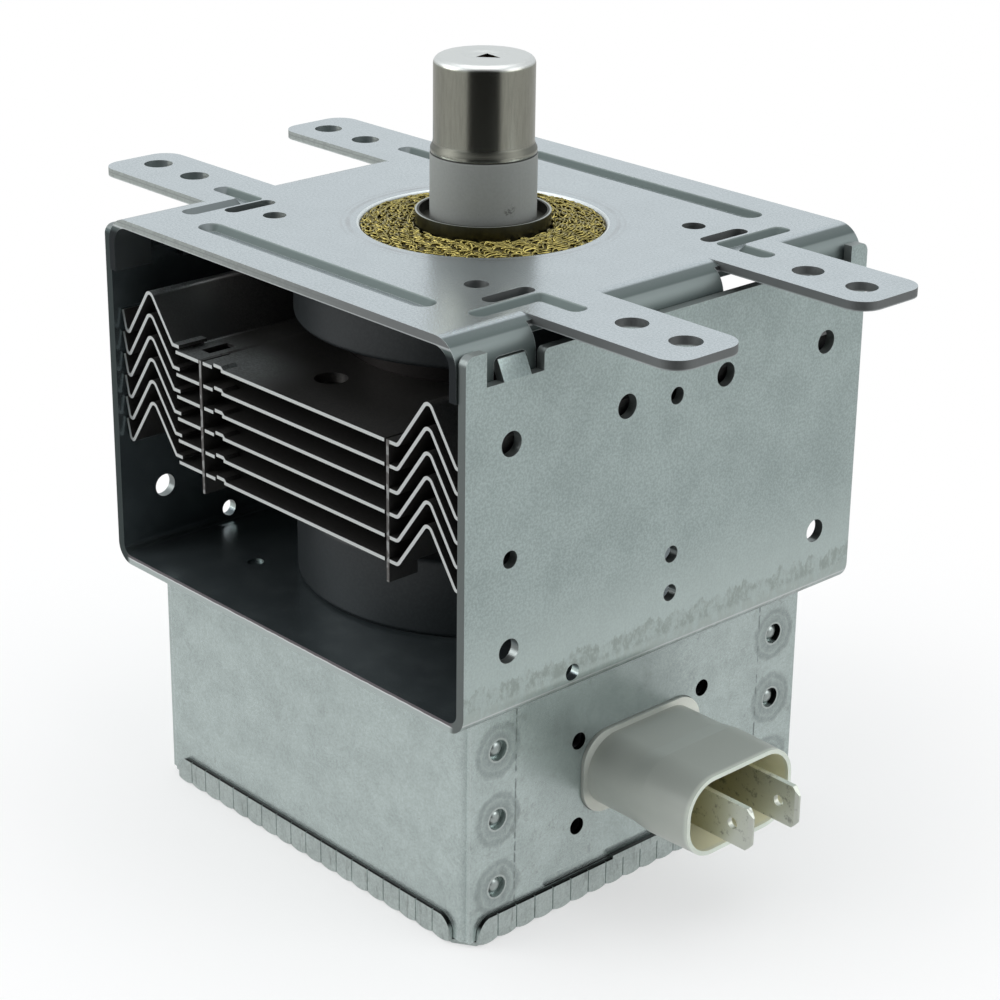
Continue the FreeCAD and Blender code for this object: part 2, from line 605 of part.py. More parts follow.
# Yoke: a folded U of sheet steel whose walls hold the plate by tongues and horns
def make_yoke():
    body = make_body("yoke_frame")
    wall = "(yoke_half_width - yoke_thick / 2)"
    floor = "-(yoke_depth - yoke_thick / 2)"
    path = make_sketch(body, "YokePath", "XZ_Plane")
    draw_outline(path, [("0", floor), (wall, floor, "yoke_bend"), (wall, "-horn_top")], closed=False)
    strip = make_sketch(body, "YokeStrip", "YZ_Plane")
    draw_box(strip, "-yoke_half_length", "yoke_half_length", "-yoke_depth", "-yoke_depth + yoke_thick")
    mirror(body, sweep(body, path, strip), "YZ_Plane")
    across = f"2 * (yoke_half_width + {BEYOND})"

    rim = make_sketch(body, "YokeRim", "YZ_Plane")
    draw_outline(rim, [
        ("-horn_root", BEYOND), ("-horn_root", "-notch_floor"), ("-notch_near", "-notch_floor"),
        ("-notch_near", "-yoke_rim", "notch_round"), ("notch_near", "-yoke_rim", "notch_round"),
        ("notch_near", "-notch_floor"), ("horn_root", "-notch_floor"), ("horn_root", BEYOND),
    ])
    cut(body, rim, across, middle=True)

    tongues = make_sketch(body, "Tongues", "XZ_Plane", "tongue_near")
    outer, inner = "yoke_half_width", WALL_INSIDE
    root = f"-notch_floor - {BEYOND}"
    for side in (1, -1):
        draw_outline(tongues, [
            (f"{side} * {outer}", root), (f"{side} * {outer}", "-notch_floor"),
            (f"{side} * ({outer} - tongue_lean)", "-tongue_top"),
            (f"{side} * ({inner} - tongue_lean)", "-tongue_top"),
            (f"{side} * {inner}", "-notch_floor"), (f"{side} * {inner}", root),
        ])
    pair = pad(body, tongues, "tongue_far - tongue_near")
    mirror(body, pair, "XZ_Plane")

    holes = make_sketch(body, "WallHoles", "YZ_Plane")
    for side in (1, -1):
        draw_circle(holes, f"{side} * screw_far", "-screw_top", "screw_hole / 2")
        draw_circle(holes, f"{side} * screw_mid", "-screw_top", "screw_hole / 2")
        draw_circle(holes, f"{side} * screw_far", "-screw_low", "screw_hole / 2")
    for level in ("-gauge_top", "-gauge_mid", "-gauge_low"):
        draw_circle(holes, "0", level, "gauge_hole / 2")
    draw_circle(holes, "-screw_far", "-gauge_side", "gauge_hole / 2")
    draw_circle(holes, "-gauge_foot_y", "-gauge_foot", "gauge_hole / 2")
    cut(body, holes, across, middle=True)

    stem = make_sketch(body, "StemHole", "XY_Plane")
    draw_circle(stem, "0", "0", "stem_hole / 2")
    cut(body, stem)
    dimple = make_sketch(body, "FloorDimple", "XY_Plane", "-yoke_depth + yoke_thick")
    draw_circle(dimple, "-dimple_x", "-dimple_y", "dimple_radius")
    cut(body, dimple, "dimple_depth")

    def horn_corner(edge):
        box = edge.BoundBox
        at_end = near(abs(box.YMin), "yoke_half_length") and near(abs(box.YMax), "yoke_half_length")
        return at_end and near(box.ZMin, "-horn_top") and near(box.ZMax, "-horn_top")
    round_edges(body, "horn_round", horn_corner)
    return body


# Ring magnets
def make_magnet(name, face, thickness):
    top, foot = f"-{face}", f"-{face} - {thickness}"
    corners = [
        ("magnet_bore", foot), ("magnet_radius", foot, "magnet_round"),
        ("magnet_radius", top, "magnet_round"), ("magnet_bore", top),
    ]
    return turned(name, corners)


# Anode: copper cylinder with ten vanes tied by strap rings
def make_anode():
    inner = "(anode_radius - anode_wall)"
    corners = [
        (inner, f"-{ANODE_BOTTOM}"), ("anode_radius", f"-{ANODE_BOTTOM}"),
        ("anode_radius", f"-{ANODE_TOP}"), (inner, f"-{ANODE_TOP}"),
    ]
    return turned("anode_cylinder", corners)


def make_vanes(name, turn, relief):
    """Make every other vane, with a relief under the strap that it must not touch."""
    body = make_body(name, f"-{ANODE_MIDDLE}")
    half = "(vane_height / 2)"
    seat = f"({half} - strap_height)"
    low = f"({half} - strap_height - strap_slack)"
    groove_in, groove_out = "(strap_inner - strap_room)", "(strap_outer + strap_width + strap_room)"
    middle = "((strap_inner + strap_width + strap_outer) / 2)"
    first, second = (low, seat) if relief == "inner" else (seat, low)
    upper = [
        ("vane_tip", half), (groove_in, half), (groove_in, first), (middle, first),
        (middle, second), (groove_out, second), (groove_out, half),
    ]
    lower = [(x, f"-{z}") for x, z in upper]
    wall = "sqrt((anode_radius - anode_wall)^2 - vane_thick^2 / 4)"
    section = make_sketch(body, name + "Side", "XZ_Plane")
    draw_outline(section, upper + [(wall, half), (wall, f"-{half}")] + lower[::-1])
    vane = pad(body, section, "vane_thick", middle=True)
    ring = body.newObject("PartDesign::PolarPattern", name + "Ring")
    ring.Originals = [vane]
    ring.Axis = (section, ["V_Axis"])
    ring.Angle = 360
    ring.setExpression("Occurrences", bound("vane_pairs"))
    body.Tip = ring
    body.Placement.Rotation = FreeCAD.Rotation(FreeCAD.Vector(0, 0, 1), size(turn))
    return body


def make_straps():
    body = make_body("strap_rings", f"-{ANODE_MIDDLE}")
    section = make_sketch(body, "StrapSection", "XZ_Plane")
    for radius in ("strap_inner", "strap_outer"):
        for side in (1, -1):
            ends = ordered(f"{side} * vane_height / 2", f"{side} * (vane_height / 2 - strap_height)")
            draw_box(section, radius, f"{radius} + strap_width", ends[0], ends[1])
    revolve(body, section)
    return body


def make_pole(name, face, side):
    """Make a dished pole piece on one end of the anode, its eye towards the vanes."""
    near_face, far_face = f"-{face}", f"-{face} + {side} * pole_thick"
    dip = f"-{face} - {side} * (pole_dish - pole_thick)"
    dip_back = f"{dip} + {side} * pole_thick"
    corners = [
        ("anode_radius", near_face), ("anode_radius", far_face), ("pole_knee", far_face),
        ("pole_waist", dip_back), ("pole_eye", dip_back), ("pole_eye", dip),
        ("pole_waist - pole_draw", dip), ("pole_knee - pole_draw", near_face),
    ]
    return turned(name, corners)


# Output end: seal cup, ceramic window, antenna and cap
def make_output_cup():
    face = UPPER_FACE
    inner = "(cup_radius - shell_thick)"
    corners = [
        ("anode_radius", f"-{face}"), ("anode_radius", f"-{face} - shell_thick"),
        (inner, f"-{face} - shell_thick"), (inner, "cup_floor - shell_thick"),
        ("ceramic_bore", "cup_floor - shell_thick"), ("ceramic_bore", "cup_floor"),
        (inner, "cup_floor"), (inner, "cup_rim"), ("cup_radius", "cup_rim"), ("cup_radius", f"-{face}"),
    ]
    return turned("output_seal_cup", corners)


def make_output_ceramic():
    corners = [
        ("ceramic_bore", "cup_floor"), ("ceramic_radius", "cup_floor", "ceramic_round"),
        ("ceramic_radius", "ceramic_top", "ceramic_round"), ("ceramic_bore", "ceramic_top"),
    ]
    return turned("output_ceramic", corners)


# The vent's corners in the cap's top, in parts of its side
VENT_CORNERS = ((-0.25, -0.48), (0.87, 0.48), (-0.55, 0.70))


def make_cap():
    inner = "(cap_radius - cap_wall)"
    lip = "(ceramic_top + cap_lip_height)"
    bore = "(cap_lip - cap_wall)"
    floor, ceiling = "(cap_top - cap_dimple_depth)", "(cap_top - cap_wall)"
    corners = [
        (bore, "ceramic_top"), ("cap_lip", "ceramic_top"), ("cap_lip", f"{lip} - cap_lip_slope"),
        ("cap_radius", lip), ("cap_radius", "cap_top", "cap_round"), ("cap_dimple", "cap_top"),
        ("cap_dimple", floor), ("0", floor), ("0", f"{floor} - cap_wall"),
        ("cap_dimple + cap_wall", f"{floor} - cap_wall"), ("cap_dimple + cap_wall", ceiling),
        (inner, ceiling, "cap_round - cap_wall"), (inner, f"{lip} + cap_lip_slope - cap_wall"),
        (bore, f"{lip} - cap_wall"),
    ]
    body = turned("antenna_cap", corners)
    vent = make_sketch(body, "CapVent", "XY_Plane", f"cap_top + {BEYOND}")
    draw_outline(vent, [(f"{x} * cap_vent", f"{y} * cap_vent") for x, y in VENT_CORNERS])
    cut(body, vent, f"2 * {BEYOND} + cap_dimple_depth + cap_wall")
    return body


def make_gasket():
    inner, outer = "(cup_radius + fit_gap)", "(collar_bore - fit_gap)"
    corners = [
        (inner, "-plate_thick"), (outer, "-plate_thick"), (outer, "-gasket_edge"),
        (f"({inner} + {outer}) / 2", "gasket_top", "gasket_crown"), (inner, "gasket_inner_top"),
    ]
    return turned("rf_gasket", corners)


# Inside the cap: the pinched copper exhaust tube on top of the ceramic
def make_exhaust():
    body = make_body("exhaust_tube", "ceramic_top")
    section = make_sketch(body, "TubeSection", "XZ_Plane")
    draw_box(section, "antenna_rod", "tube_radius", "0", "tube_height")
    revolve(body, section)
    pinch = make_sketch(body, "Pinch", "XZ_Plane")
    tip = "tube_height + pinch_height"
    draw_outline(pinch, [
        ("-tube_radius", "tube_height"), ("tube_radius", "tube_height"),
        ("pinch_half_width", tip), ("-pinch_half_width", tip),
    ])
    pad(body, pinch, "pinch_thick", middle=True)
    seat = make_sketch(body, "TubeSeat", "XY_Plane")
    draw_circle(seat, "0", "0", "cap_lip - cap_wall - fit_gap")
    pad(body, seat, "tube_seat")
    return body


# Antenna rod: up from the gap between pole and vane, through the ceramic to the tube's seat
def make_antenna():
    foot = f"-({ANODE_TOP} + pole_dish - pole_thick) + antenna_foot"
    corners = [("0", foot), ("antenna_rod", foot), ("antenna_rod", "ceramic_top"), ("0", "ceramic_top")]
    return turned("antenna_lead", corners)


# Cathode: a filament between two end hats, on two leads from the stem
def make_end_hats():
    half = "(vane_height / 2)"
    bore = "(filament_inner - filament_clear)"
    top = [
        ("0", half), ("hat_radius", half), ("hat_radius", f"{half} + hat_rim"),
        ("lead_radius", f"{half} + hat_thick"), ("0", f"{half} + hat_thick"),
    ]
    low = [
        (bore, f"-{half} - hat_thick"), ("hat_radius", f"-{half} - hat_thick"),
        ("hat_radius", f"-{half}"), (bore, f"-{half}"),
    ]
    level = f"-{ANODE_MIDDLE}"
    return [turned("upper_end_hat", top, level), turned("lower_end_hat", low, level)]


def make_leads():
    top = f"-{ANODE_MIDDLE} + vane_height / 2"
    foot = f"-{STEM_FOOT}"
    corners = [("0", foot), ("lead_radius", foot), ("lead_radius", top), ("0", top)]
    centre = turned("centre_lead", corners)
    side = make_body("side_lead", foot)
    spot = make_sketch(side, "SideLeadSpot", "XY_Plane")
    draw_circle(spot, "side_lead_x", "0", "lead_radius")
    pad(side, spot, f"{STEM_FOOT} - {ANODE_MIDDLE} - vane_height / 2 - hat_thick")
    return [centre, side]


def make_filament():
    body = make_body("filament", f"-{ANODE_MIDDLE} - vane_height / 2 + filament_clear + filament_wire / 2")
    wire = make_sketch(body, "FilamentWire", "XZ_Plane")
    outer = "filament_inner + filament_wire"
    draw_box(wire, "filament_inner", outer, "-filament_wire / 2", "filament_wire / 2")
    coil = body.newObject("PartDesign::AdditiveHelix", "FilamentCoil")
    coil.Profile = wire
    coil.ReferenceAxis = (wire, ["V_Axis"])
    coil.Mode = "pitch-height-angle"
    coil.setExpression("Pitch", bound("filament_pitch"))
    coil.setExpression("Height", bound("vane_height - 2 * filament_clear - filament_wire"))
    return body


# Stem end: seal cup on the anode's foot, ceramic, and two terminal strips under it
def make_seal_cup():
    outer = "(stem_hole / 2 - 3 * fit_gap)"
    inner = f"({outer} - shell_thick)"
    corners = [
        ("anode_radius", f"-{LOWER_FACE}"), (outer, f"-{LOWER_FACE}"), (outer, "-(yoke_depth + stem_top)"),
        (inner, "-(yoke_depth + stem_top)"), (inner, f"-{LOWER_FACE} + shell_thick"),
        ("anode_radius", f"-{LOWER_FACE} + shell_thick"),
    ]
    return turned("cathode_seal_cup", corners)


def make_stem():
    body = make_body("stem_ceramic", f"-{STEM_FOOT}")
    section = make_sketch(body, "StemSection", "XZ_Plane")
    draw_box(section, "0", "stem_radius", "0", "stem_drop - stem_top")
    revolve(body, section)
    bores = make_sketch(body, "StemBores", "XY_Plane", "stem_drop")
    for place in ("0", "side_lead_x"):
        draw_circle(bores, place, "0", "lead_radius")
    cut(body, bores)
    return body


def make_terminal(number, side):
    """Make a strip under the stem that takes one lead out to its choke."""
    name = f"stem_terminal_{number}"
    body = make_body(name, f"-{STEM_FOOT}")
    plan = make_sketch(body, name + "Plan", "XY_Plane")
    middle = "0" if side < 0 else "side_lead_x"
    ends = ordered(f"{-side} * terminal_back", f"{side} * terminal_reach")
    draw_box(plan, f"{middle} - terminal_half_width", f"{middle} + terminal_half_width", ends[0], ends[1])
    pad(body, plan, "terminal_thick", reverse=True)
    return body


# Fins: each one sheet, flat at the anode and folded up and down at both walls
FIN_FOOT = "(magnet_radius - fin_foot)"
FIN_CREST = "(magnet_radius + crest_gap)"
FIN_HALF = "(fin_thick / 2)"


def make_fin(number):
    name = f"cooling_fin_{number}"
    body = make_body(name, f"-(fin_first + {number - 1} * fin_pitch)")
    path = make_sketch(body, name + "Path", "XZ_Plane")
    draw_outline(path, [
        ("0", "0"), (FIN_FOOT, "0", "fin_bend"), (FIN_CREST, "fin_rise", "fin_bend"),
        (f"{WALL_INSIDE} - fin_valley", "-fin_drop", "fin_low_bend"),
        (f"{WALL_INSIDE} - fit_gap - {FIN_HALF}", "fin_tab"),
    ], closed=False)
    strip = make_sketch(body, name + "Strip", "YZ_Plane")
    draw_box(strip, f"-{FIN_END}", FIN_END, f"-{FIN_HALF}", FIN_HALF)
    mirror(body, sweep(body, path, strip), "YZ_Plane")

    raise_tab(body, name)
    shear_foot(body, name)
    collars = make_sketch(body, name + "Collars", "XY_Plane")
    draw_circle(collars, "0", "0", "anode_radius + fin_thick")
    pad(body, collars, "fin_collar", reverse=True)
    eye = make_sketch(body, name + "Eye", "XY_Plane")
    draw_circle(eye, "-eye_x", "-eye_y", "eye_radius + fin_thick")
    pad(body, eye, "eye_collar", reverse=True)
    lugs = make_sketch(body, name + "Lugs", "XZ_Plane", FIN_END)
    left, right = f"(lug_left - {FIN_FOOT})", f"({FIN_FOOT} - lug_right)"
    for place in (left, right):
        draw_box(lugs, f"{place} - {FIN_HALF}", f"{place} + {FIN_HALF}", f"-(fin_pitch - {FIN_HALF})", "0")
    pad(body, lugs, "lug_depth", reverse=True)

    openings = make_sketch(body, name + "Openings", "XY_Plane")
    draw_circle(openings, "0", "0", "anode_radius + fin_bore_gap")
    draw_circle(openings, "-eye_x", "-eye_y", "eye_radius")
    for place, side in ((left, 1), (right, -1)):
        slit = ordered(f"{place} + {side} * {FIN_HALF}", f"{place} + {side} * ({FIN_HALF} + slit_width)")
        draw_box(openings, slit[0], slit[1], f"-{FIN_END} - {BEYOND}", f"-{FIN_END} + lug_depth")
    lance, front = f"(lance_near - {FIN_FOOT})", f"(lance_front - {FIN_END})"
    draw_box(openings, lance, f"{lance} + lance_width", front, f"{front} + lance_length")
    cut(body, openings, "2 * fin_pitch", middle=True)
    return body


def raise_tab(body, name):
    """Shear a short tab at the near edge and set it up above the flat."""
    start = f"(hump_start - {FIN_FOOT})"
    stop = f"({start} + hump_length)"
    knee = f"({stop} - fin_thick)"
    room = make_sketch(body, name + "TabRoom", "XZ_Plane", f"{FIN_END} + {BEYOND}")
    draw_box(room, f"{start} - slit_width", knee, "-fin_thick", "fin_thick")
    cut(body, room, f"hump_depth + {BEYOND}")
    tab = make_sketch(body, name + "Tab", "XZ_Plane", FIN_END)
    under, over = f"hump_rise - {FIN_HALF}", f"hump_rise + {FIN_HALF}"
    draw_outline(tab, [
        (start, under), (knee, under), (knee, f"-{FIN_HALF}"), (stop, f"-{FIN_HALF}"), (stop, FIN_HALF),
        (knee, over), (start, over),
    ])
    pad(body, tab, "hump_depth", reverse=True)


def shear_foot(body, name):
    """Part the left foot's near end from the flat and turn the slope's end in as a hook."""
    slope = f"(({FIN_CREST} - {FIN_FOOT}) / fin_rise)"
    skin = f"({FIN_HALF} * sqrt(1 + {slope}^2))"
    low, high = f"(hook_rise - {FIN_HALF})", f"(hook_rise + {FIN_HALF})"
    root = f"({high} + {FIN_HALF})"
    room = make_sketch(body, name + "FootRoom", "XZ_Plane", f"{FIN_END} + {BEYOND}")
    outside = f"-({FIN_FOOT} + {high} * {slope} + fin_thick)"
    inside = f"-({FIN_FOOT} - hook_reach - slit_width)"
    draw_box(room, outside, inside, "-fin_thick", high)
    cut(body, room, f"lug_depth + {BEYOND}")
    flat = make_sketch(body, name + "FlatEnd", "XZ_Plane", FIN_END)
    draw_box(flat, f"-{FIN_FOOT}", f"{inside} + slit_width", f"-{FIN_HALF}", FIN_HALF)
    pad(body, flat, "lug_depth", reverse=True)
    hook = make_sketch(body, name + "Hook", "XZ_Plane", FIN_END)
    draw_outline(hook, [(f"-({FIN_FOOT} + {run})", z) for run, z in (
        (f"{root} * {slope} + {skin}", root), (f"{low} * {slope} + {skin}", low), ("-1 * hook_reach", low),
        ("-1 * hook_reach", high), (f"{high} * {slope} - {skin}", high), (f"{root} * {slope} - {skin}", root),
    )])
    pad(body, hook, "lug_depth", reverse=True)


# Filter box: one folded sheet, its walls lapped and clinched behind the two end panels
def make_filter_box():
    body = make_body("filter_box", "-yoke_depth")
    panel, wall = "box_half_x", "box_half_y"
    inner_x, inner_y, lap = f"({panel} - box_thick)", f"({wall} - box_thick)", f"({panel} - 2 * box_thick)"
    turns = ((-1, -1), (1, -1), (1, 1), (-1, 1))
    solid = make_sketch(body, "BoxPlan", "XY_Plane")
    draw_outline(solid, [(f"{x} * {inner_x}", f"{y} * {wall}", "box_round") for x, y in turns])
    pad(body, solid, "box_drop", reverse=True)
    ends = make_sketch(body, "EndPanels", "XY_Plane")
    for side in (1, -1):
        span = ordered(f"{side} * ({inner_x} - box_round)", f"{side} * {panel}")
        draw_box(ends, span[0], span[1], f"-({wall} - panel_inset)", f"{wall} - panel_inset")
    pad(body, ends, "box_drop", reverse=True)
    hollow = make_sketch(body, "BoxHollow", "XY_Plane", "-box_thick")
    right_half = [
        (lap, f"-{inner_y}"), (lap, "-lap_edge"), (inner_x, "-lap_edge"),
        (inner_x, "lap_edge"), (lap, "lap_edge"), (lap, inner_y),
    ]
    draw_outline(hollow, right_half + [(f"-{x}", y) for x, y in right_half[::-1]])
    cut(body, hollow, "box_drop")
    reliefs = make_sketch(body, "CornerReliefs", "XY_Plane", BEYOND)
    for x, y in turns:
        span = ordered(f"{x} * ({inner_x} - corner_relief)", f"{x} * {inner_x}")
        rows = ordered(f"{y} * ({wall} - corner_relief)", f"{y} * ({wall} + {BEYOND})")
        draw_box(reliefs, span[0], span[1], rows[0], rows[1])
    cut(body, reliefs, f"{BEYOND} + corner_relief")

    bosses = make_sketch(body, "ClinchBosses", "YZ_Plane", f"{lap} - clinch_wall")
    recesses = make_sketch(body, "Clinches", "YZ_Plane", f"{panel} + {BEYOND}")
    buttons = make_sketch(body, "ClinchButtons", "YZ_Plane", f"{panel} - clinch_depth - {SHARED}")
    for side in (1, -1):
        for step in range(3):
            place = (f"{side} * clinch_row", f"-(clinch_top + {step} * clinch_pitch)")
            draw_circle(bosses, place[0], place[1], "clinch_radius + clinch_wall")
            draw_circle(recesses, place[0], place[1], "clinch_radius")
            draw_circle(buttons, place[0], place[1], "clinch_button")
    mirror(body, pad(body, bosses, "clinch_wall + fit_gap"), "YZ_Plane")
    mirror(body, cut(body, recesses, f"{BEYOND} + clinch_depth"), "YZ_Plane")
    button = pad(body, buttons, f"clinch_button_height + {SHARED}", taper="clinch_button_slope")
    mirror(body, button, "YZ_Plane")

    opening = make_sketch(body, "PlugOpening", "YZ_Plane", f"{panel} + {BEYOND}")
    room = ("plug_flange_y + fit_gap", "plug_flange_z + fit_gap", "plug_flange_corner + fit_gap")
    draw_plug(opening, room[0], room[1], room[2], "-plug_depth")
    for side in (1, -1):
        for step in (1, -1):
            level = f"{step} * rivet_z - rivet_drop - plug_depth"
            draw_circle(opening, f"{side} * rivet_y", level, "rivet_hole / 2")
    cut(body, opening, f"{BEYOND} + 2 * box_thick")
    groove = make_sketch(body, "PanelGroove", "YZ_Plane", f"{panel} + {BEYOND}")
    level = "-groove_level"
    draw_slot(groove, ("-groove_reach", level), ("groove_reach", level), "groove_half_height")
    cut(body, groove, f"{BEYOND} + groove_depth")
    stem = make_sketch(body, "BoxStemHole", "XY_Plane", BEYOND)
    draw_circle(stem, "0", "0", "stem_hole / 2")
    cut(body, stem, f"box_thick + 2 * {BEYOND}")
    return body


def draw_plug(sketch, wide, high, corner, level):
    """Draw a section of the plug by its half width, half height and corner radius."""
    turns = ((-1, -1), (1, -1), (1, 1), (-1, 1))
    draw_outline(sketch, [(f"{y} * ({wide})", f"{level} + {z} * ({high})", corner) for y, z in turns])


# Lid: a flat floor with four pleated spring flaps around the box's lower edge
# The corner that rounds a pleat's foot lies this much of the notch's height below the lid's floor
FOOT_DROP = "0.9"


def make_lid():
    body = make_body("box_cover", "-(yoke_depth + lid_depth)")
    reach_x, reach_y = "(box_half_x + fit_gap)", "(box_half_y + fit_gap)"
    floor = make_sketch(body, "LidFloor", "XY_Plane")
    turns = ((1, -1), (1, 1), (-1, 1), (-1, -1))
    corners = []
    for x, y in turns:
        by_end, by_side = (f"{x} * {reach_x}", f"{y} * skirt_end"), (f"{x} * skirt_end", f"{y} * {reach_y}")
        corners += [by_side, by_end] if x * y < 0 else [by_end, by_side]
    draw_outline(floor, corners)
    pad(body, floor, "lid_thick")
    add_flaps(body, "YZ_Plane", reach_x)
    add_flaps(body, "XZ_Plane", reach_y)
    step = make_sketch(body, "SkirtStep", "YZ_Plane", f"{reach_x} - {SHARED}")
    draw_box(step, "-step_reach", "step_reach", "skirt_height - lid_thick", "skirt_height + step_rise")
    pad(body, step, f"lid_thick + {SHARED}")
    return body


def add_flaps(body, plane, reach):
    """Raise a pair of opposite flaps: plain strips with a row of round-footed pleats on them."""
    name = plane[:2]
    left, right = "-skirt_end", "(pleat_pitch - skirt_end)"
    foot_round = f"pleat_pitch^2 / (4 * (1 + {FOOT_DROP}) * pleat_notch)"
    pleats = []
    for side, mark in ((1, "Near"), (-1, "Far")):
        strip = make_sketch(body, name + mark + "Strip", plane, f"{side} * ({reach} - {SHARED})")
        draw_box(strip, "-skirt_end", "skirt_end", "pleat_notch", "skirt_height")
        pad(body, strip, f"lid_thick / 2 + {SHARED}", reverse=side < 0)
        leaf = make_sketch(body, name + mark + "Leaf", plane, f"{side} * ({reach} + lid_thick / 2)")
        draw_outline(leaf, [
            (left, "pleat_notch"), ("pleat_pitch / 2 - skirt_end", f"-{FOOT_DROP} * pleat_notch", foot_round),
            (right, "pleat_notch"), (right, "skirt_height"), (left, "skirt_height"),
        ])
        pleats.append(pad(body, leaf, "lid_thick / 2", reverse=side < 0, taper="pleat_slope"))
    rows = body.newObject("PartDesign::LinearPattern", name + "Pleats")
    rows.Originals = pleats
    rows.Direction = (pleats[0].Profile[0], ["H_Axis"])
    rows.Mode = "Spacing"
    rows.setExpression("Offset", bound("pleat_pitch"))
    rows.setExpression("Occurrences", bound("round(2 * skirt_end / pleat_pitch)"))
    body.Tip = rows
    corners = make_sketch(body, name + "FlapCorners", plane)
    above, below = f"skirt_height + {BEYOND}", f"skirt_height - skirt_round - {SHARED}"
    for side in (1, -1):
        end, past = f"{side} * skirt_end", f"{side} * (skirt_end + {BEYOND})"
        back = f"{side} * (skirt_end - skirt_round - {SHARED})"
        draw_outline(corners, [
            (past, above), (back, above), (back, "skirt_height"),
            (end, "skirt_height", "skirt_round"), (end, below), (past, below),
        ])
    cut(body, corners, f"2 * ({reach} + lid_thick + {BEYOND})", middle=True)


# Plug: moulded housing, capacitor behind the panel and two blade terminals
def make_plug_housing():
    body = make_body("plug_housing", f"-{PLUG_LEVEL}")
    root = "(box_half_x - box_thick)"
    flange = make_sketch(body, "PlugFlange", "YZ_Plane", root)
    draw_plug(flange, "plug_flange_y", "plug_flange_z", "plug_flange_corner", "0")
    pad(body, flange, "box_thick + plug_flange_proud")
    base = ("plug_base_y", "plug_base_z", "plug_base_corner")
    mouth = ("plug_mouth_y", "plug_mouth_z", "plug_corner")
    stations = (
        ("HousingFoot", "box_half_x", base), ("HousingWaist", "plug_waist", base),
        ("HousingShoulder", "plug_shoulder", ("plug_shoulder_y", "plug_shoulder_z", "plug_corner")),
        ("HousingMouth", "plug_reach", mouth),
    )
    outside = plug_sections(body, stations, "0")
    loft = body.newObject("PartDesign::AdditiveLoft", "Housing")
    loft.Profile, loft.Sections, loft.Ruled = outside[0], outside[1:], True
    inner_stations = (
        ("HollowFoot", "box_half_x + plug_floor", base), ("HollowMouth", "plug_reach + fit_gap", mouth),
    )
    inside = plug_sections(body, inner_stations, "plug_wall")
    hollow = body.newObject("PartDesign::SubtractiveLoft", "HousingHollow")
    hollow.Profile, hollow.Sections, hollow.Ruled = inside[0], inside[1:], True
    slots = make_sketch(body, "BladeSlots", "YZ_Plane", root)
    draw_blades(slots)
    cut(body, slots, f"box_thick + plug_floor + {BEYOND}", reverse=True)
    return body


def plug_sections(body, stations, wall):
    """Draw the plug's sections at their places along X, each drawn in by the wall."""
    sketches = []
    for name, place, (wide, high, corner) in stations:
        sketch = make_sketch(body, name, "YZ_Plane", place)
        draw_plug(sketch, f"{wide} - {wall}", f"{high} - {wall}", f"{corner} - {wall}", "0")
        sketches.append(sketch)
    return sketches


def make_capacitor():
    body = make_body("capacitor", f"-{PLUG_LEVEL}")
    root = "(box_half_x - box_thick)"
    plate = make_sketch(body, "CapacitorPlate", "YZ_Plane", root)
    draw_plug(plate, "capacitor_half_y", "capacitor_half_z", "capacitor_corner", "0")
    for side in (1, -1):
        for step in (1, -1):
            draw_circle(plate, f"{side} * rivet_y", f"{step} * rivet_z - rivet_drop", "rivet_hole / 2")
    pad(body, plate, "capacitor_plate", reverse=True)
    case = make_sketch(body, "CapacitorCase", "YZ_Plane", f"{root} - capacitor_plate")
    draw_plug(case, "case_half_y", "case_half_z", "case_corner", "0")
    pad(body, case, "capacitor_depth", reverse=True)
    slots = make_sketch(body, "CapacitorSlots", "YZ_Plane", f"{root} - capacitor_plate - capacitor_depth")
    draw_blades(slots)
    cut(body, slots, f"capacitor_plate + capacitor_depth + {BEYOND}", reverse=True)
    return body


def draw_blades(sketch):
    """Draw the sections of both blades."""
    for side in (1, -1):
        low, high = f"{side} * blade_row - blade_thick / 2", f"{side} * blade_row + blade_thick / 2"
        draw_box(sketch, low, high, "-blade_width / 2", "blade_width / 2")


def make_blade(number, side):
    """Make a blade with a latch hole, its tip chamfered in outline and bevelled in thickness."""
    name = f"blade_terminal_{number}"
    body = make_body(name, f"-{PLUG_LEVEL}")
    body.setExpression("Placement.Base.y", bound(f"{side} * blade_row"))
    half, face = "(blade_width / 2)", "(blade_thick / 2)"
    shoulder = "(blade_tip - blade_shoulder)"
    outline = make_sketch(body, name + "Outline", "XZ_Plane")
    draw_outline(outline, [
        (BLADE_BACK, f"-{half}"), (shoulder, f"-{half}"), ("blade_tip", f"-{half} + blade_chamfer"),
        ("blade_tip", f"{half} - blade_chamfer"), (shoulder, half), (BLADE_BACK, half),
    ])
    draw_circle(outline, "blade_tip - blade_hole_back", "0", "blade_hole / 2")
    pad(body, outline, "blade_thick", middle=True)
    bevels = make_sketch(body, name + "Bevels", "XY_Plane")
    start, beyond = "blade_tip - blade_bevel_length", f"blade_tip + {BEYOND}"
    for turn in (1, -1):
        skin, clear = f"{turn} * ({face} - blade_bevel)", f"{turn} * ({face} + {BEYOND})"
        draw_outline(bevels, [
            (start, f"{turn} * {face}"), ("blade_tip", skin), (beyond, skin), (beyond, clear), (start, clear),
        ])
    cut(body, bevels, f"blade_width + {BEYOND}", middle=True)
    return body


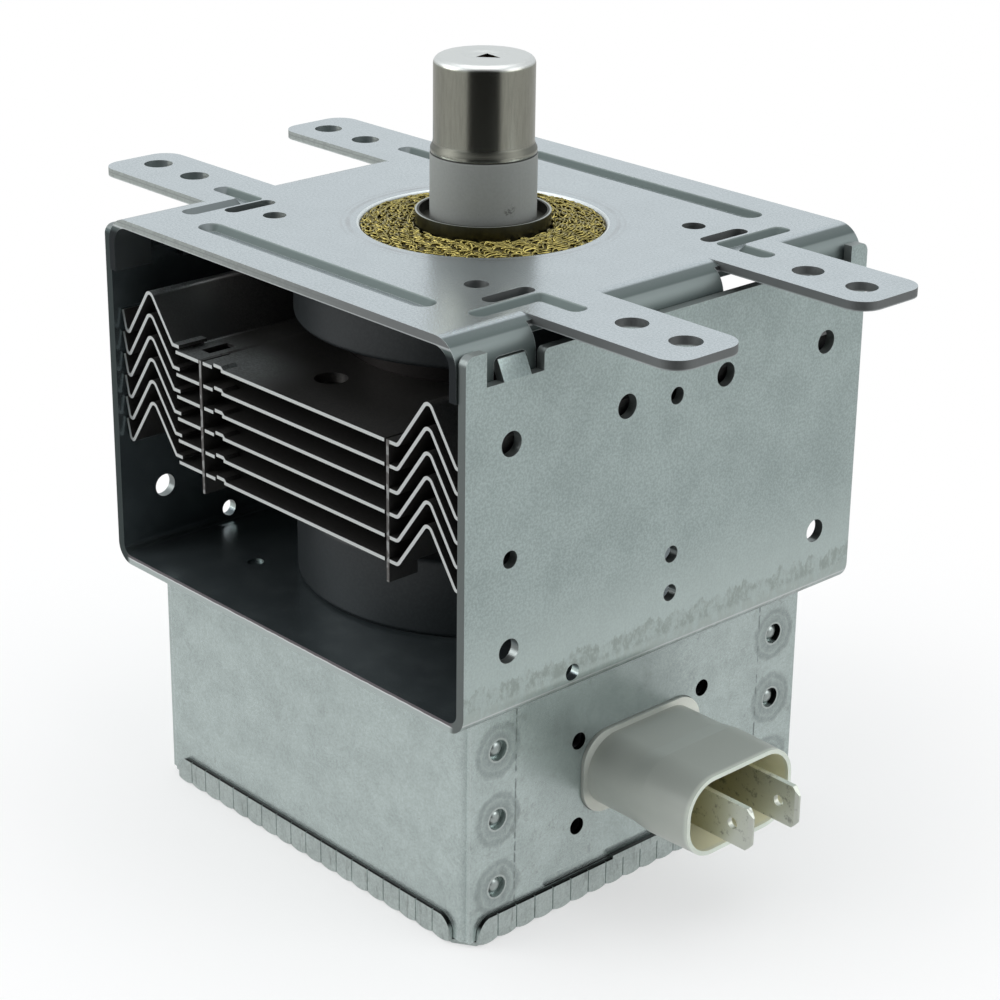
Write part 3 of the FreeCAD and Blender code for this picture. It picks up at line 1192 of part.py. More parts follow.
# Chokes: each a coil on a ferrite rod, with leads to a stem terminal and to a blade
def make_choke(number, side):
    name = f"choke_coil_{number}"
    body = make_body(name)
    wire = make_sketch(body, name + "Wire", "XZ_Plane")
    draw_wire(wire, "choke_radius", "0")
    coil = body.newObject("PartDesign::AdditiveHelix", name + "Turns")
    coil.Profile = wire
    coil.ReferenceAxis = (wire, ["V_Axis"])
    coil.Mode = "pitch-turns-angle"
    coil.setExpression("Pitch", bound("choke_pitch"))
    coil.setExpression("Turns", bound("choke_turns"))

    # In the coil's own axes: X down from the choke's axis, Z along it towards the blades
    under_stem = f"({STEM_FOOT} + terminal_thick + choke_wire / 2 - {CHOKE_LEVEL})"
    out = "-choke_lead"
    stem_run = [
        ("choke_radius", "0"), ("choke_radius", out, "choke_bend"), (under_stem, out, "choke_bend"),
        (under_stem, "side_lead_x - choke_start + terminal_half_width"),
    ]
    length = "choke_turns * choke_pitch"
    at_blade = f"({BLADE_BACK} + blade_root / 2 - choke_start)"
    blade_run = [
        ("choke_radius", length), ("choke_radius", at_blade, "choke_bend"),
        (f"{PLUG_LEVEL} - {CHOKE_LEVEL}", at_blade),
    ]
    for end, corners, level in (("Stem", stem_run, "0"), ("Blade", blade_run, length)):
        path = make_sketch(body, f"{name}{end}Lead", "XZ_Plane")
        draw_outline(path, corners, closed=False)
        section = make_sketch(body, f"{name}{end}Section", "XY_Plane", level)
        draw_wire(section, "choke_radius", "0")
        sweep(body, path, section)
    body.Placement.Rotation = FreeCAD.Rotation(FreeCAD.Vector(0, 1, 0), 90)
    body.setExpression("Placement.Base.x", bound("choke_start"))
    body.setExpression("Placement.Base.y", bound(f"{side} * {CHOKE_ROW}"))
    body.setExpression("Placement.Base.z", bound(f"-{CHOKE_LEVEL}"))
    return body


def draw_wire(sketch, x, y):
    """Draw the choke wire's six-sided section about a point."""
    quarter, over, under = "choke_wire / 4", f"{y} + choke_wire_rise", f"{y} - choke_wire_rise"
    left, right = f"{x} - {quarter}", f"{x} + {quarter}"
    draw_outline(sketch, [
        (f"{right} + {quarter}", y), (right, over), (left, over), (f"{left} - {quarter}", y), (left, under),
        (right, under),
    ])


def make_core(number, side):
    body = make_body(f"choke_core_{number}", f"-{CHOKE_LEVEL}")
    body.setExpression("Placement.Base.y", bound(f"{side} * {CHOKE_ROW}"))
    disc = make_sketch(body, f"Core{number}Disc", "YZ_Plane", "choke_start - core_proud")
    draw_circle(disc, "0", "0", "core_radius")
    pad(body, disc, "choke_turns * choke_pitch + 2 * core_proud")
    return body


parts = [
    make_top_plate(), make_yoke(),
    make_magnet("upper_magnet", "plate_thick", "upper_magnet_thick"),
    make_magnet("lower_magnet", LOWER_FACE, "lower_magnet_thick"),
    make_anode(), make_straps(),
    make_vanes("even_vanes", "0", "inner"), make_vanes("odd_vanes", "180 / vane_pairs", "outer"),
    make_pole("upper_pole_piece", ANODE_TOP, 1), make_pole("lower_pole_piece", ANODE_BOTTOM, -1),
    make_output_cup(), make_output_ceramic(), make_cap(), make_gasket(), make_exhaust(), make_antenna(),
    make_filter_box(), make_lid(), make_plug_housing(), make_capacitor(),
    make_blade(1, -1), make_blade(2, 1),
]
parts += make_end_hats() + make_leads() + [make_filament(), make_seal_cup(), make_stem()]
parts += [make_fin(number) for number in range(1, 7)]
for number, side in ((1, -1), (2, 1)):
    parts += [make_terminal(number, side), make_choke(number, side), make_core(number, side)]
document.recompute()

failed = [item.Name for item in document.Objects if "Invalid" in item.State or "Error" in item.State]
failed += [part.Label for part in parts if part.Shape.isNull() or not part.Shape.isValid()]
if failed:
    raise RuntimeError("These did not build: " + ", ".join(failed))

os.makedirs("parts", exist_ok=True)
for part in parts:
    part.Shape.exportStep(os.path.join("parts", part.Label + ".step"))
    print(part.Label, round(part.Shape.Volume, 1), len(part.Shape.Solids))
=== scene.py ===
"""Looks of a microwave-oven magnetron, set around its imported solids.

Each sub-assembly is a class that dresses its solids and builds the finer surfaces that lie over them.
Sizes are in millimetres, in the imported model's own frame: +Z up the antenna, +X towards the plug.
The camera's, the floor's and the lamps' are in metres.
"""
import logging
from dataclasses import dataclass
from enum import Enum
from functools import partial, reduce

import bpy
import numpy as np
from mathutils import Matrix


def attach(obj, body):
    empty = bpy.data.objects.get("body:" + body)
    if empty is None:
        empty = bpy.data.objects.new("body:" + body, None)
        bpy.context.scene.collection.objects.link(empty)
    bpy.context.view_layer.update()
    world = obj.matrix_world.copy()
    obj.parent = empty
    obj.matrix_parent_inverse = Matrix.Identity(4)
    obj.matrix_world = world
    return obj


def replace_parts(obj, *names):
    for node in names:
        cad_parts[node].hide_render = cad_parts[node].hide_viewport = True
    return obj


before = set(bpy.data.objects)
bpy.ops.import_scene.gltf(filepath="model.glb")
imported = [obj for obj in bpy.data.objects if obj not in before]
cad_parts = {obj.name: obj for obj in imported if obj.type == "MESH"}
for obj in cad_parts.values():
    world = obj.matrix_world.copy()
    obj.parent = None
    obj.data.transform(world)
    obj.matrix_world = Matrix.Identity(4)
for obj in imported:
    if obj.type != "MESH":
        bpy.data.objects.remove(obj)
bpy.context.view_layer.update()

MM = 0.001
TAU = 2.0 * np.pi
LOG = logging.getLogger("magnetron")

Triple = tuple[float, float, float]
Colour = Triple
Socket = bpy.types.NodeSocket
Material = bpy.types.Material


class Reading(Enum):
    """What a material reads at each point: its place along an axis, or its normal's part along one."""

    X = 0
    Y = 1
    Z = 2
    NX = 3
    NY = 4
    NZ = 5


X, Y, Z, NX, NY, NZ = Reading
Value = Socket | Reading | float


def dimmed(colour: Colour, share: float) -> Colour:
    """Give a colour scaled to a share of itself."""
    return tuple(channel * share for channel in colour)


class Look:
    """A procedural material under construction, with lengths in millimetres."""

    def __init__(self, name: str, colour: Colour) -> None:
        """Start a material with one shader on Object coordinates.

        Args:
            name: the material's name.
            colour: the ground that later coats go over.
        """
        self.colour: Socket | Colour = colour
        self.material = bpy.data.materials.new(name)
        self.material.use_nodes = True
        self.nodes = self.material.node_tree.nodes
        self.links = self.material.node_tree.links
        self.nodes.clear()
        self.shader = self.nodes.new("ShaderNodeBsdfPrincipled")
        output = self.nodes.new("ShaderNodeOutputMaterial")
        self.surface = output.inputs[0]
        self.links.new(self.shader.outputs[0], self.surface)
        scaled = self.nodes.new("ShaderNodeVectorMath")
        scaled.operation = "SCALE"
        scaled.inputs["Scale"].default_value = 1.0 / MM
        self.links.new(self.nodes.new("ShaderNodeTexCoord").outputs["Object"], scaled.inputs[0])
        self.place = scaled.outputs[0]
        self.geometry = self.nodes.new("ShaderNodeNewGeometry").outputs["Normal"]
        split = []
        for vector in (self.place, self.geometry):
            node = self.nodes.new("ShaderNodeSeparateXYZ")
            self.links.new(vector, node.inputs[0])
            split += node.outputs
        self.readings = dict(zip(Reading, split))

    def feed(self, target: Socket, value: Value | Colour) -> None:
        """Link what gives a value to an input, or set the input's own value.

        Args:
            target: the input.
            value: a socket, a reading, a number or a colour.
        """
        if isinstance(value, Reading):
            value = self.readings[value]
        if isinstance(value, Socket):
            self.links.new(value, target)
        elif isinstance(value, tuple) and len(target.default_value) == 4:
            target.default_value = (*value, 1.0)
        else:
            target.default_value = value

    def math(self, operation: str, first: Value, second: Value = 0.0, third: Value = 0.0) -> Socket:
        """Work out a number.

        Args:
            operation: the Math node's operation.
            first: its first value.
            second: its second value.
            third: its third value.

        Returns:
            The result.
        """
        node = self.nodes.new("ShaderNodeMath")
        node.operation = operation
        for target, value in zip(node.inputs, (first, second, third)):
            self.feed(target, value)
        return node.outputs[0]

    def size(self, value: Value) -> Socket:
        """Give a value without its sign."""
        return self.math("ABSOLUTE", value)

    def length(self, first: Value, second: Value) -> Socket:
        """Give the length of the slope over two legs at a right angle."""
        squares = self.math("MULTIPLY_ADD", first, first, self.math("MULTIPLY", second, second))
        return self.math("SQRT", squares)

    def fade(self, value: Value, low: float, high: float, start: float = 0.0, end: float = 1.0) -> Socket:
        """Carry a value smoothly from one level to another between two bounds.

        Args:
            value: what is read.
            low: the value that gives start.
            high: the value that gives end.
            start: the level at low.
            end: the level at high.

        Returns:
            The level.
        """
        node = self.nodes.new("ShaderNodeMapRange")
        node.interpolation_type = "SMOOTHSTEP"
        for target, number in zip(node.inputs, (value, low, high, start, end)):
            self.feed(target, number)
        return node.outputs[0]

    def both(self, *masks: Value) -> Socket:
        """Multiply masks, so that all of them must hold."""
        return reduce(partial(self.math, "MULTIPLY"), masks)

    def either(self, *masks: Value) -> Socket:
        """Take the strongest of several masks."""
        return reduce(partial(self.math, "MAXIMUM"), masks)

    def band(self, value: Value, low: float, high: float, soft: float) -> Socket:
        """Give 1 between two bounds and fade softly to 0 outside them."""
        return self.both(self.fade(value, low - soft, low), self.fade(value, high, high + soft, 1.0, 0.0))

    def reach(self, across: Reading, along: Reading, centre: tuple[float, float] = (0.0, 0.0)) -> Socket:
        """Give the distance from a point in the plane of two axes."""
        return self.length(self.math("SUBTRACT", across, centre[0]), self.math("SUBTRACT", along, centre[1]))

    def outward(self, axis: Reading, normal: Reading) -> Socket:
        """Give how far out a face lies along an axis, positive where it faces outwards."""
        return self.math("MULTIPLY", axis, normal)

    def corner(self, radius: float) -> Socket:
        """Find the sharp corners of a solid.

        Args:
            radius: how far from a corner its mask reaches.

        Returns:
            1 on a corner, 0 on a flat face.
        """
        bevel = self.nodes.new("ShaderNodeBevel")
        bevel.samples = 4
        bevel.inputs["Radius"].default_value = radius * MM
        turn = self.nodes.new("ShaderNodeVectorMath")
        turn.operation = "DOT_PRODUCT"
        self.links.new(bevel.outputs[0], turn.inputs[0])
        self.links.new(self.geometry, turn.inputs[1])
        return self.fade(turn.outputs["Value"], 0.985, 0.80)

    def noise(self, grain: float, detail: float = 2.0, rough: float = 0.5, stretch: float = 1.0) -> Socket:
        """Give a soft random pattern from 0 to 1.

        Args:
            grain: the size of its blotches.
            detail: how many finer layers it has.
            rough: how strong those are.
            stretch: how many times shorter the blotches are along Z.

        Returns:
            The pattern.
        """
        spread = self.nodes.new("ShaderNodeMapping")
        spread.inputs["Scale"].default_value = (1.0, 1.0, stretch)
        self.links.new(self.place, spread.inputs["Vector"])
        node = self.nodes.new("ShaderNodeTexNoise")
        self.links.new(spread.outputs[0], node.inputs["Vector"])
        node.inputs["Scale"].default_value = 1.0 / grain
        node.inputs["Detail"].default_value = detail
        node.inputs["Roughness"].default_value = rough
        return node.outputs["Fac"]

    def mix(self, factor: Value, first: Socket | Colour, second: Socket | Colour) -> Socket:
        """Blend two colours.

        Args:
            factor: 0 for the first, 1 for the second.
            first: a colour.
            second: a colour.

        Returns:
            The blend.
        """
        node = self.nodes.new("ShaderNodeMix")
        node.data_type = "RGBA"
        self.feed(node.inputs[0], factor)
        self.feed(node.inputs[6], first)
        self.feed(node.inputs[7], second)
        return node.outputs[2]

    def coat(self, colour: Socket | Colour, *masks: Value) -> None:
        """Lay a colour over what is there, where all the masks hold.

        Args:
            colour: the new colour.
            masks: where it lies, each from 0 to 1.
        """
        self.colour = self.mix(self.both(*masks), self.colour, colour)

    def blend(self, factor: Socket, first: Socket, second: Socket) -> Socket:
        """Blend two shaders.

        Args:
            factor: 0 for the first, 1 for the second.
            first: a shader.
            second: a shader.

        Returns:
            The blend.
        """
        node = self.nodes.new("ShaderNodeMixShader")
        for target, source in zip(node.inputs, (factor, first, second)):
            self.links.new(source, target)
        return node.outputs[0]

    def bump(self, height: Socket, depth: float, strength: float = 1.0) -> None:
        """Raise the surface by a height pattern.

        Args:
            height: the pattern.
            depth: the height of its full range.
            strength: how much of it shows.
        """
        node = self.nodes.new("ShaderNodeBump")
        node.inputs["Distance"].default_value = depth * MM
        node.inputs["Strength"].default_value = strength
        self.links.new(height, node.inputs["Height"])
        self.links.new(node.outputs[0], self.shader.inputs["Normal"])

    def finish(self, metallic: float, roughness: Value) -> Material:
        """Set the shader's main inputs.

        Args:
            metallic: 1 for bare metal.
            roughness: 0 for a mirror.

        Returns:
            The finished material.
        """
        for name, value in (("Base Color", self.colour), ("Metallic", metallic), ("Roughness", roughness)):
            self.feed(self.shader.inputs[name], value)
        return self.material


@dataclass(frozen=True)
class ZincSheet:
    """Zinc-coated sheet steel: fine spangle, soft blotches and dull cut edges."""

    name: str
    colour: Colour
    shade: Colour
    grain: float = 0.35
    blotch: float = 7.0
    blotch_share: float = 0.35
    speck_share: float = 0.6
    roughness: float = 0.33
    metallic: float = 0.75
    spangle: float = 0.032

    def start(self) -> Look:
        """Lay down the coating's spangle and blotches."""
        look = Look(self.name, self.colour)
        speck = look.fade(look.noise(self.grain, 3.0, 0.7), 0.36, 0.64)
        cloud = look.fade(look.noise(self.blotch, 4.0, 0.6), 0.35, 0.70, 0.0, self.blotch_share)
        look.coat(self.shade, look.math("MULTIPLY_ADD", speck, self.speck_share, cloud))
        look.bump(look.noise(self.grain, 2.0, 0.6), self.spangle, 0.6)
        return look


@dataclass(frozen=True)
class PlateZinc(ZincSheet):
    """The mounting plate's coating: pale on top, painted grey as shade where it turns down, in the ribs'
    troughs and underneath, worn round the gasket.
    """

    name: str = "plate_zinc"
    colour: Colour = (0.60, 0.65, 0.675)
    shade: Colour = (0.49, 0.535, 0.555)
    blotch_share: float = 0.2
    speck_share: float = 0.85
    roughness: float = 0.26
    metallic: float = 0.9
    bend_shade: Colour = (0.225, 0.260, 0.255)
    turned: Colour = (0.105, 0.130, 0.126)
    cut_left: Colour = (0.42, 0.455, 0.435)
    cut_right: Colour = (0.19, 0.20, 0.20)
    underside_shade: Colour = (0.20, 0.225, 0.23)
    shade_below: Colour = (0.020, 0.024, 0.026)
    worn: Colour = (0.40, 0.41, 0.42)
    bright: Colour = (0.80, 0.84, 0.85)
    sheet: float = 1.3
    lip: float = 17.55
    lip_width: float = 0.45
    worn_ring: float = 19.3

    def make(self) -> Material:
        """Build the material."""
        look = self.start()
        from_axis = look.reach(X, Y)
        patchy = look.fade(look.noise(9.0, 3.0), 0.35, 0.65, 0.10, 0.75)
        ring = look.band(from_axis, self.worn_ring - 0.15, self.worn_ring + 0.15, 0.35)
        wider = look.band(from_axis, self.worn_ring + 0.9, self.worn_ring + 1.0, 0.25)
        look.coat(self.worn, look.either(ring, look.both(wider, 0.5)), patchy)
        # Painted shade: faces that tilt away from up are painted darker.
        look.coat(self.bend_shade, look.fade(NZ, 0.997, 0.70))
        # Painted shade: steep faces and the lower walls of the ribs' troughs are painted dark.
        sunk = look.both(look.fade(Z, -0.02, -0.28), look.fade(NZ, 0.99, 0.93))
        ribs = look.fade(Z, -1.25, -1.0)
        look.coat(self.turned, look.either(look.fade(NZ, 0.60, 0.15), look.both(sunk, ribs, 0.9)))
        # Lighter on sharp corners: edge wear and a painted highlight.
        look.coat(self.bright, look.corner(0.16), 0.55)
        look.coat(self.cut_colour(look), self.is_cut(look))
        lip = look.band(from_axis, self.lip, self.lip + self.lip_width, 0.08)
        look.coat(self.bright, lip, look.fade(NZ, -0.1, 0.2))
        # Painted shade: faces turned down, or inwards along X, are painted darker.
        inner = look.fade(look.outward(X, NX), -10.0, -20.0)
        look.coat(self.underside_shade, look.either(look.fade(NZ, -0.3, -0.6), inner))
        # Painted shade: faces below the sheet that look along Y are painted nearly black.
        below = look.fade(Z, -self.sheet - 0.3, -self.sheet - 1.2)
        look.coat(self.shade_below, below, look.fade(look.size(NY), 0.75, 0.9))
        roughness = look.math("MULTIPLY_ADD", look.fade(NZ, 0.99, 0.88), 0.27, self.roughness)
        return look.finish(self.metallic, roughness)

    def is_cut(self, look: Look) -> Socket:
        """Mask the upright faces within the sheet's thickness."""
        in_sheet = look.fade(Z, -self.sheet - 0.3, -self.sheet)
        upright = look.fade(look.size(NZ), 0.5, 0.3)
        return look.both(in_sheet, upright)

    def cut_colour(self, look: Look) -> Socket:
        """Colour the sheared edges, painted darker towards +X as shade, with a fine line along the middle
        where the shear broke through.
        """
        # Painted shade: the edges' grey darkens from -X to +X.
        grey = look.mix(look.fade(X, -32.0, 30.0), self.cut_left, self.cut_right)
        line = look.band(Z, -0.62, -0.52, 0.08)
        rough = look.fade(look.noise(0.6, 4.0, 0.8, 0.8), 0.42, 0.66, 0.0, 0.4)
        darker = look.mix(look.either(look.both(line, 0.5), rough), grey, self.cut_right)
        foot = look.fade(Z, -self.sheet + 0.22, -self.sheet + 0.05, 0.0, 0.45)
        return look.mix(foot, darker, self.bright)


@dataclass(frozen=True)
class YokeZinc(ZincSheet):
    """The yoke's coating: mottled outside, scuffed above the bend, smoother inside, with painted shade inside
    the U and on faces turned down.
    """

    name: str = "yoke_zinc"
    colour: Colour = (0.49, 0.58, 0.565)
    shade: Colour = (0.35, 0.42, 0.41)
    speck_share: float = 0.8
    inside: Colour = (0.135, 0.165, 0.175)
    lighter_inside_shade: Colour = (0.18, 0.215, 0.225)
    cut_edge_and_under_shade: Colour = (0.24, 0.265, 0.260)
    sheared: Colour = (0.15, 0.135, 0.145)
    burnished: Colour = (0.72, 0.75, 0.75)
    smeared: Colour = (0.50, 0.565, 0.55)
    open_end: float = 37.6
    near_left_edge_shade: Colour = (0.035, 0.050, 0.050)
    near_right_edge_shade: Colour = (0.150, 0.170, 0.166)
    pale: Colour = (0.60, 0.69, 0.665)
    scuffed: Colour = (0.55, 0.63, 0.60)
    rubbed: Colour = (0.25, 0.285, 0.255)
    scuff_low: float = -52.6
    scuff_high: float = -48.6
    wall: float = 37.0
    floor: float = -52.0
    line_level: float = -53.35

    def make(self) -> Material:
        """Build the material."""
        look = self.start()
        look.coat(self.pale, look.fade(Z, -34.0, -49.0, 0.0, 0.6))
        ragged = look.noise(2.4, 5.0, 0.72, 0.30)
        height = look.math("MULTIPLY_ADD", ragged, -7.0, Z)
        band = look.band(height, self.scuff_low - 4.0, self.scuff_high - 3.4, 0.4)
        patches = look.fade(look.noise(1.7, 5.0, 0.75, 0.6), 0.40, 0.60, 0.15, 1.0)
        look.coat(self.rubbed, band, patches, 0.55)
        flecks = look.fade(look.noise(0.45, 3.0, 0.7, 0.5), 0.55, 0.66)
        look.coat(self.scuffed, band, flecks, 0.6)
        smear = look.band(Z, self.scuff_low + 0.2, self.scuff_low + 1.4, 0.6)
        look.coat(self.scuffed, smear, patches, 0.6)
        look.coat(self.burnished, look.band(Z, -52.75, -52.55, 0.12), 0.8)
        # Painted shade: faces turned down, under the bend, take the cut edges' darker grey.
        look.coat(self.cut_edge_and_under_shade, look.fade(NZ, -0.45, -0.85), 0.6)
        # Lighter on sharp corners: edge wear and a painted highlight.
        look.coat(self.scuffed, look.corner(0.15), 0.6)
        # Painted shade: the faces inside the U are painted dark, in a cloudy mix of two greys.
        dark = self.is_inside(look)
        cloud = look.fade(look.noise(4.0, 3.0, 0.6), 0.4, 0.7)
        look.coat(look.mix(cloud, self.inside, self.lighter_inside_shade), dark)
        look.coat(self.cut_edge_and_under_shade, self.is_cut(look))
        near_end = look.both(look.fade(NY, -0.7, -0.9), look.fade(Y, -self.open_end, -self.open_end - 0.1))
        low = look.fade(Z, self.floor, self.floor - 0.9)
        look.coat(self.shear(look), near_end, low)
        # Painted shade: the two walls' front edges are painted different darker greys, the left one nearly
        # black.
        look.coat(self.near_left_edge_shade, near_end, look.fade(X, -36.0, -37.0))
        look.coat(self.near_right_edge_shade, near_end, look.fade(X, 36.0, 37.0))
        return look.finish(self.metallic, look.math("MULTIPLY_ADD", dark, -0.12, self.roughness))

    def shear(self, look: Look) -> Socket:
        """Colour the floor's sheared front edge: broken above, a burnished line, and smeared zinc below."""
        wavy = look.math("MULTIPLY_ADD", look.noise(2.5, 3.0, 0.7), 0.25, Z)
        below = look.fade(wavy, self.line_level + 0.05, self.line_level - 0.05)
        line = look.band(wavy, self.line_level - 0.12, self.line_level + 0.04, 0.06)
        return look.mix(line, look.mix(below, self.sheared, self.smeared), self.burnished)

    def is_inside(self, look: Look) -> Socket:
        """Mask the faces that look into the U."""
        walls = look.fade(look.outward(X, NX), -12.0, -22.0)
        low = look.fade(Z, self.floor + 5.0, self.floor)
        up = look.fade(NZ, 0.3, 0.6)
        return look.either(walls, look.both(up, low))

    def is_cut(self, look: Look) -> Socket:
        """Mask the walls' cut edges: the holes' walls, the rim and the ends."""
        across = look.fade(look.size(NX), 0.35, 0.2)
        in_wall = look.fade(look.size(X), self.wall, self.wall + 0.3)
        above_bend = look.fade(Z, self.floor + 1.0, self.floor + 1.5)
        return look.both(across, in_wall, above_bend)


@dataclass(frozen=True)
class BoxZinc(ZincSheet):
    """The filter box's coating: greenish and stained, with rings pressed round the clinches, lighter edges
    from wear and a painted highlight, painted highlights on the clinches' rims and painted shade round the
    plug's root and inside.
    """

    name: str = "box_zinc"
    colour: Colour = (0.60, 0.69, 0.67)
    shade: Colour = (0.45, 0.52, 0.505)
    blotch: float = 5.0
    blotch_share: float = 0.45
    speck_share: float = 0.5
    roughness: float = 0.27
    stain: Colour = (0.30, 0.335, 0.32)
    edge_highlight_and_wear: Colour = (0.75, 0.80, 0.78)
    dark_mark_and_shade: Colour = (0.17, 0.20, 0.195)
    plug_shade_centre: tuple[float, float] = (-7.0, -62.0)
    hollow_shade: Colour = (0.008, 0.008, 0.008)
    clinch_radius: float = 1.55
    top: float = -54.4
    clinch_row: float = 27.8
    clinch_top: float = 7.0
    clinch_pitch: float = 10.6
    lap: float = 24.5

    def make(self) -> Material:
        """Build the material."""
        look = self.start()
        on_panel = look.fade(look.size(NX), 0.7, 0.9)
        stains = look.fade(look.noise(4.0, 5.0, 0.75), 0.55, 0.72, 0.0, 0.35)
        look.coat(self.stain, stains, look.math("MULTIPLY_ADD", on_panel, 0.7, 0.5))
        dirt = look.fade(look.noise(0.55, 2.0, 0.6), 0.73, 0.76, 0.0, 0.6)
        look.coat(self.stain, dirt)
        ticks = look.fade(look.noise(0.9, 1.0, 0.5, 0.2), 0.76, 0.79, 0.0, 0.35)
        look.coat(self.stain, ticks)
        # Painted shade: a dark patch on the panel round the plug's root.
        plug_shade = look.fade(look.reach(Y, Z, self.plug_shade_centre), 20.0, 6.0, 0.0, 0.40)
        plug_side = look.fade(X, 30.0, 33.0)
        look.coat(self.dark_mark_and_shade, plug_shade, plug_side, on_panel)
        # Lighter on sharp corners: edge wear and a painted highlight.
        look.coat(self.edge_highlight_and_wear, look.corner(0.15), 0.5)
        halo, rim = self.rings(look)
        look.coat(self.dark_mark_and_shade, halo, on_panel)
        # Painted highlight: a thin light ring on each clinch's rim.
        look.coat(self.edge_highlight_and_wear, rim, on_panel)
        # Painted shade: the vent holes' walls and the faces inside the box are painted nearly black.
        hole = look.fade(look.size(NX), 0.9, 0.6)
        past = look.fade(look.size(X), 33.45, 33.55)
        inboard = look.fade(look.size(Y), 24.0, 23.0)
        look.coat(self.hollow_shade, hole, past, inboard)
        inside = (look.fade(look.outward(*axis), -5.0, -15.0) for axis in ((X, NX), (Y, NY)))
        look.coat(self.hollow_shade, look.either(*inside))
        return look.finish(self.metallic, self.roughness)

    def rings(self, look: Look) -> tuple[Socket, Socket]:
        """Mask the marks round the clinches and along the panel's lap, and the thin ring on each clinch's rim
        where a highlight is painted.
        """
        row = look.math("SUBTRACT", look.size(Y), self.clinch_row)
        down = look.math("SUBTRACT", self.top - self.clinch_top, Z)
        turns = look.math("DIVIDE", down, self.clinch_pitch)
        nearest = look.math("MINIMUM", look.math("MAXIMUM", look.math("ROUND", turns), 0.0), 2.0)
        level = look.both(look.math("SUBTRACT", turns, nearest), self.clinch_pitch)
        distance = look.length(row, level)
        away = look.math("SUBTRACT", distance, look.both(look.noise(2.0), 1.2))
        mottled = look.fade(look.noise(0.8, 4.0, 0.7), 0.35, 0.65, 0.7, 1.0)
        inner = look.both(look.fade(away, 3.6, 1.2, 0.0, 0.55), mottled)
        outer = look.both(look.band(away, 2.9, 3.1, 0.9), mottled, 0.48)
        rim = look.both(look.band(distance, self.clinch_radius + 0.02, self.clinch_radius + 0.22, 0.1), 0.42)
        seam = look.size(look.math("SUBTRACT", look.size(Y), self.lap))
        broken = look.fade(look.noise(1.2, 2.0), 0.45, 0.6)
        lap = look.both(look.fade(seam, 0.22, 0.08), broken, 0.8)
        return look.either(inner, outer, lap), rim


@dataclass(frozen=True)
class CoverZinc(ZincSheet):
    """The cover's coating, with stains that run down its pleats."""

    name: str = "cover_zinc"
    colour: Colour = (0.56, 0.63, 0.61)
    shade: Colour = (0.40, 0.455, 0.44)
    blotch: float = 3.0
    blotch_share: float = 0.5
    stain: Colour = (0.20, 0.22, 0.21)
    seam: Colour = (0.008, 0.008, 0.008)

    def make(self) -> Material:
        """Build the material, black where the flaps' upper edges meet the box."""
        look = self.start()
        runs = look.fade(look.noise(0.9, 3.0, 0.7, 0.2), 0.56, 0.72, 0.0, 0.6)
        look.coat(self.stain, runs)
        look.coat(self.seam, look.fade(NZ, 0.3, 0.6))
        return look.finish(self.metallic, self.roughness)


@dataclass(frozen=True)
class FinSheet:
    """Aluminium fins: dull faces and bright sheared ends."""

    name: str = "fin_aluminium"
    lit: bool = False
    face: Colour = (0.15, 0.145, 0.14)
    edge: Colour = (0.66, 0.69, 0.68)
    upper: Colour = (0.60, 0.64, 0.64)
    near_end: float = -30.0
    lugs: tuple[float, ...] = (-18.5, 22.3)

    def make(self) -> Material:
        """Build the material; a lit fin gets a painted highlight on the upward faces of its near end."""
        look = Look(self.name, self.face)
        speck = look.fade(look.noise(0.3, 3.0, 0.7), 0.3, 0.7)
        look.coat(dimmed(self.face, 0.7), speck)
        # Painted highlight: the upward faces of the top fin's near end, towards -X, are painted pale.
        if self.lit:
            reach = look.fade(Y, self.near_end + 6.0, self.near_end - 4.0)
            up = look.fade(NZ, 0.5, 0.8)
            left = look.fade(X, 0.0, -15.0)
            patches = look.fade(speck, 0.0, 1.0, 0.5, 1.0)
            look.coat(self.upper, reach, up, left, patches)
        ends = look.fade(look.size(NY), 0.7, 0.9)
        outer = look.fade(look.size(Y), 36.0, 36.5)
        look.coat(self.edge, ends, outer)
        dashes = look.fade(look.noise(1.6, 1.0), 0.42, 0.50, 0.60, 1.0)
        for place in self.lugs:
            away = look.size(look.math("SUBTRACT", X, place))
            look.coat(self.face, look.fade(away, 0.45, 0.35), dashes)
        look.bump(speck, 0.01, 0.4)
        return look.finish(0.85, 0.36)


@dataclass(frozen=True)
class PlainMetal:
    """Bare or plated metal with a fine grain."""

    name: str
    colour: Colour
    roughness: float
    grain: float = 0.3
    variation: float = 0.15
    metallic: float = 1.0

    def make(self) -> Material:
        """Build the material."""
        look = Look(self.name, self.colour)
        pattern = look.fade(look.noise(self.grain, 3.0, 0.6), 0.3, 0.7)
        look.coat(dimmed(self.colour, 1.0 - self.variation), pattern)
        look.bump(pattern, 0.01, 0.5)
        return look.finish(self.metallic, self.roughness)


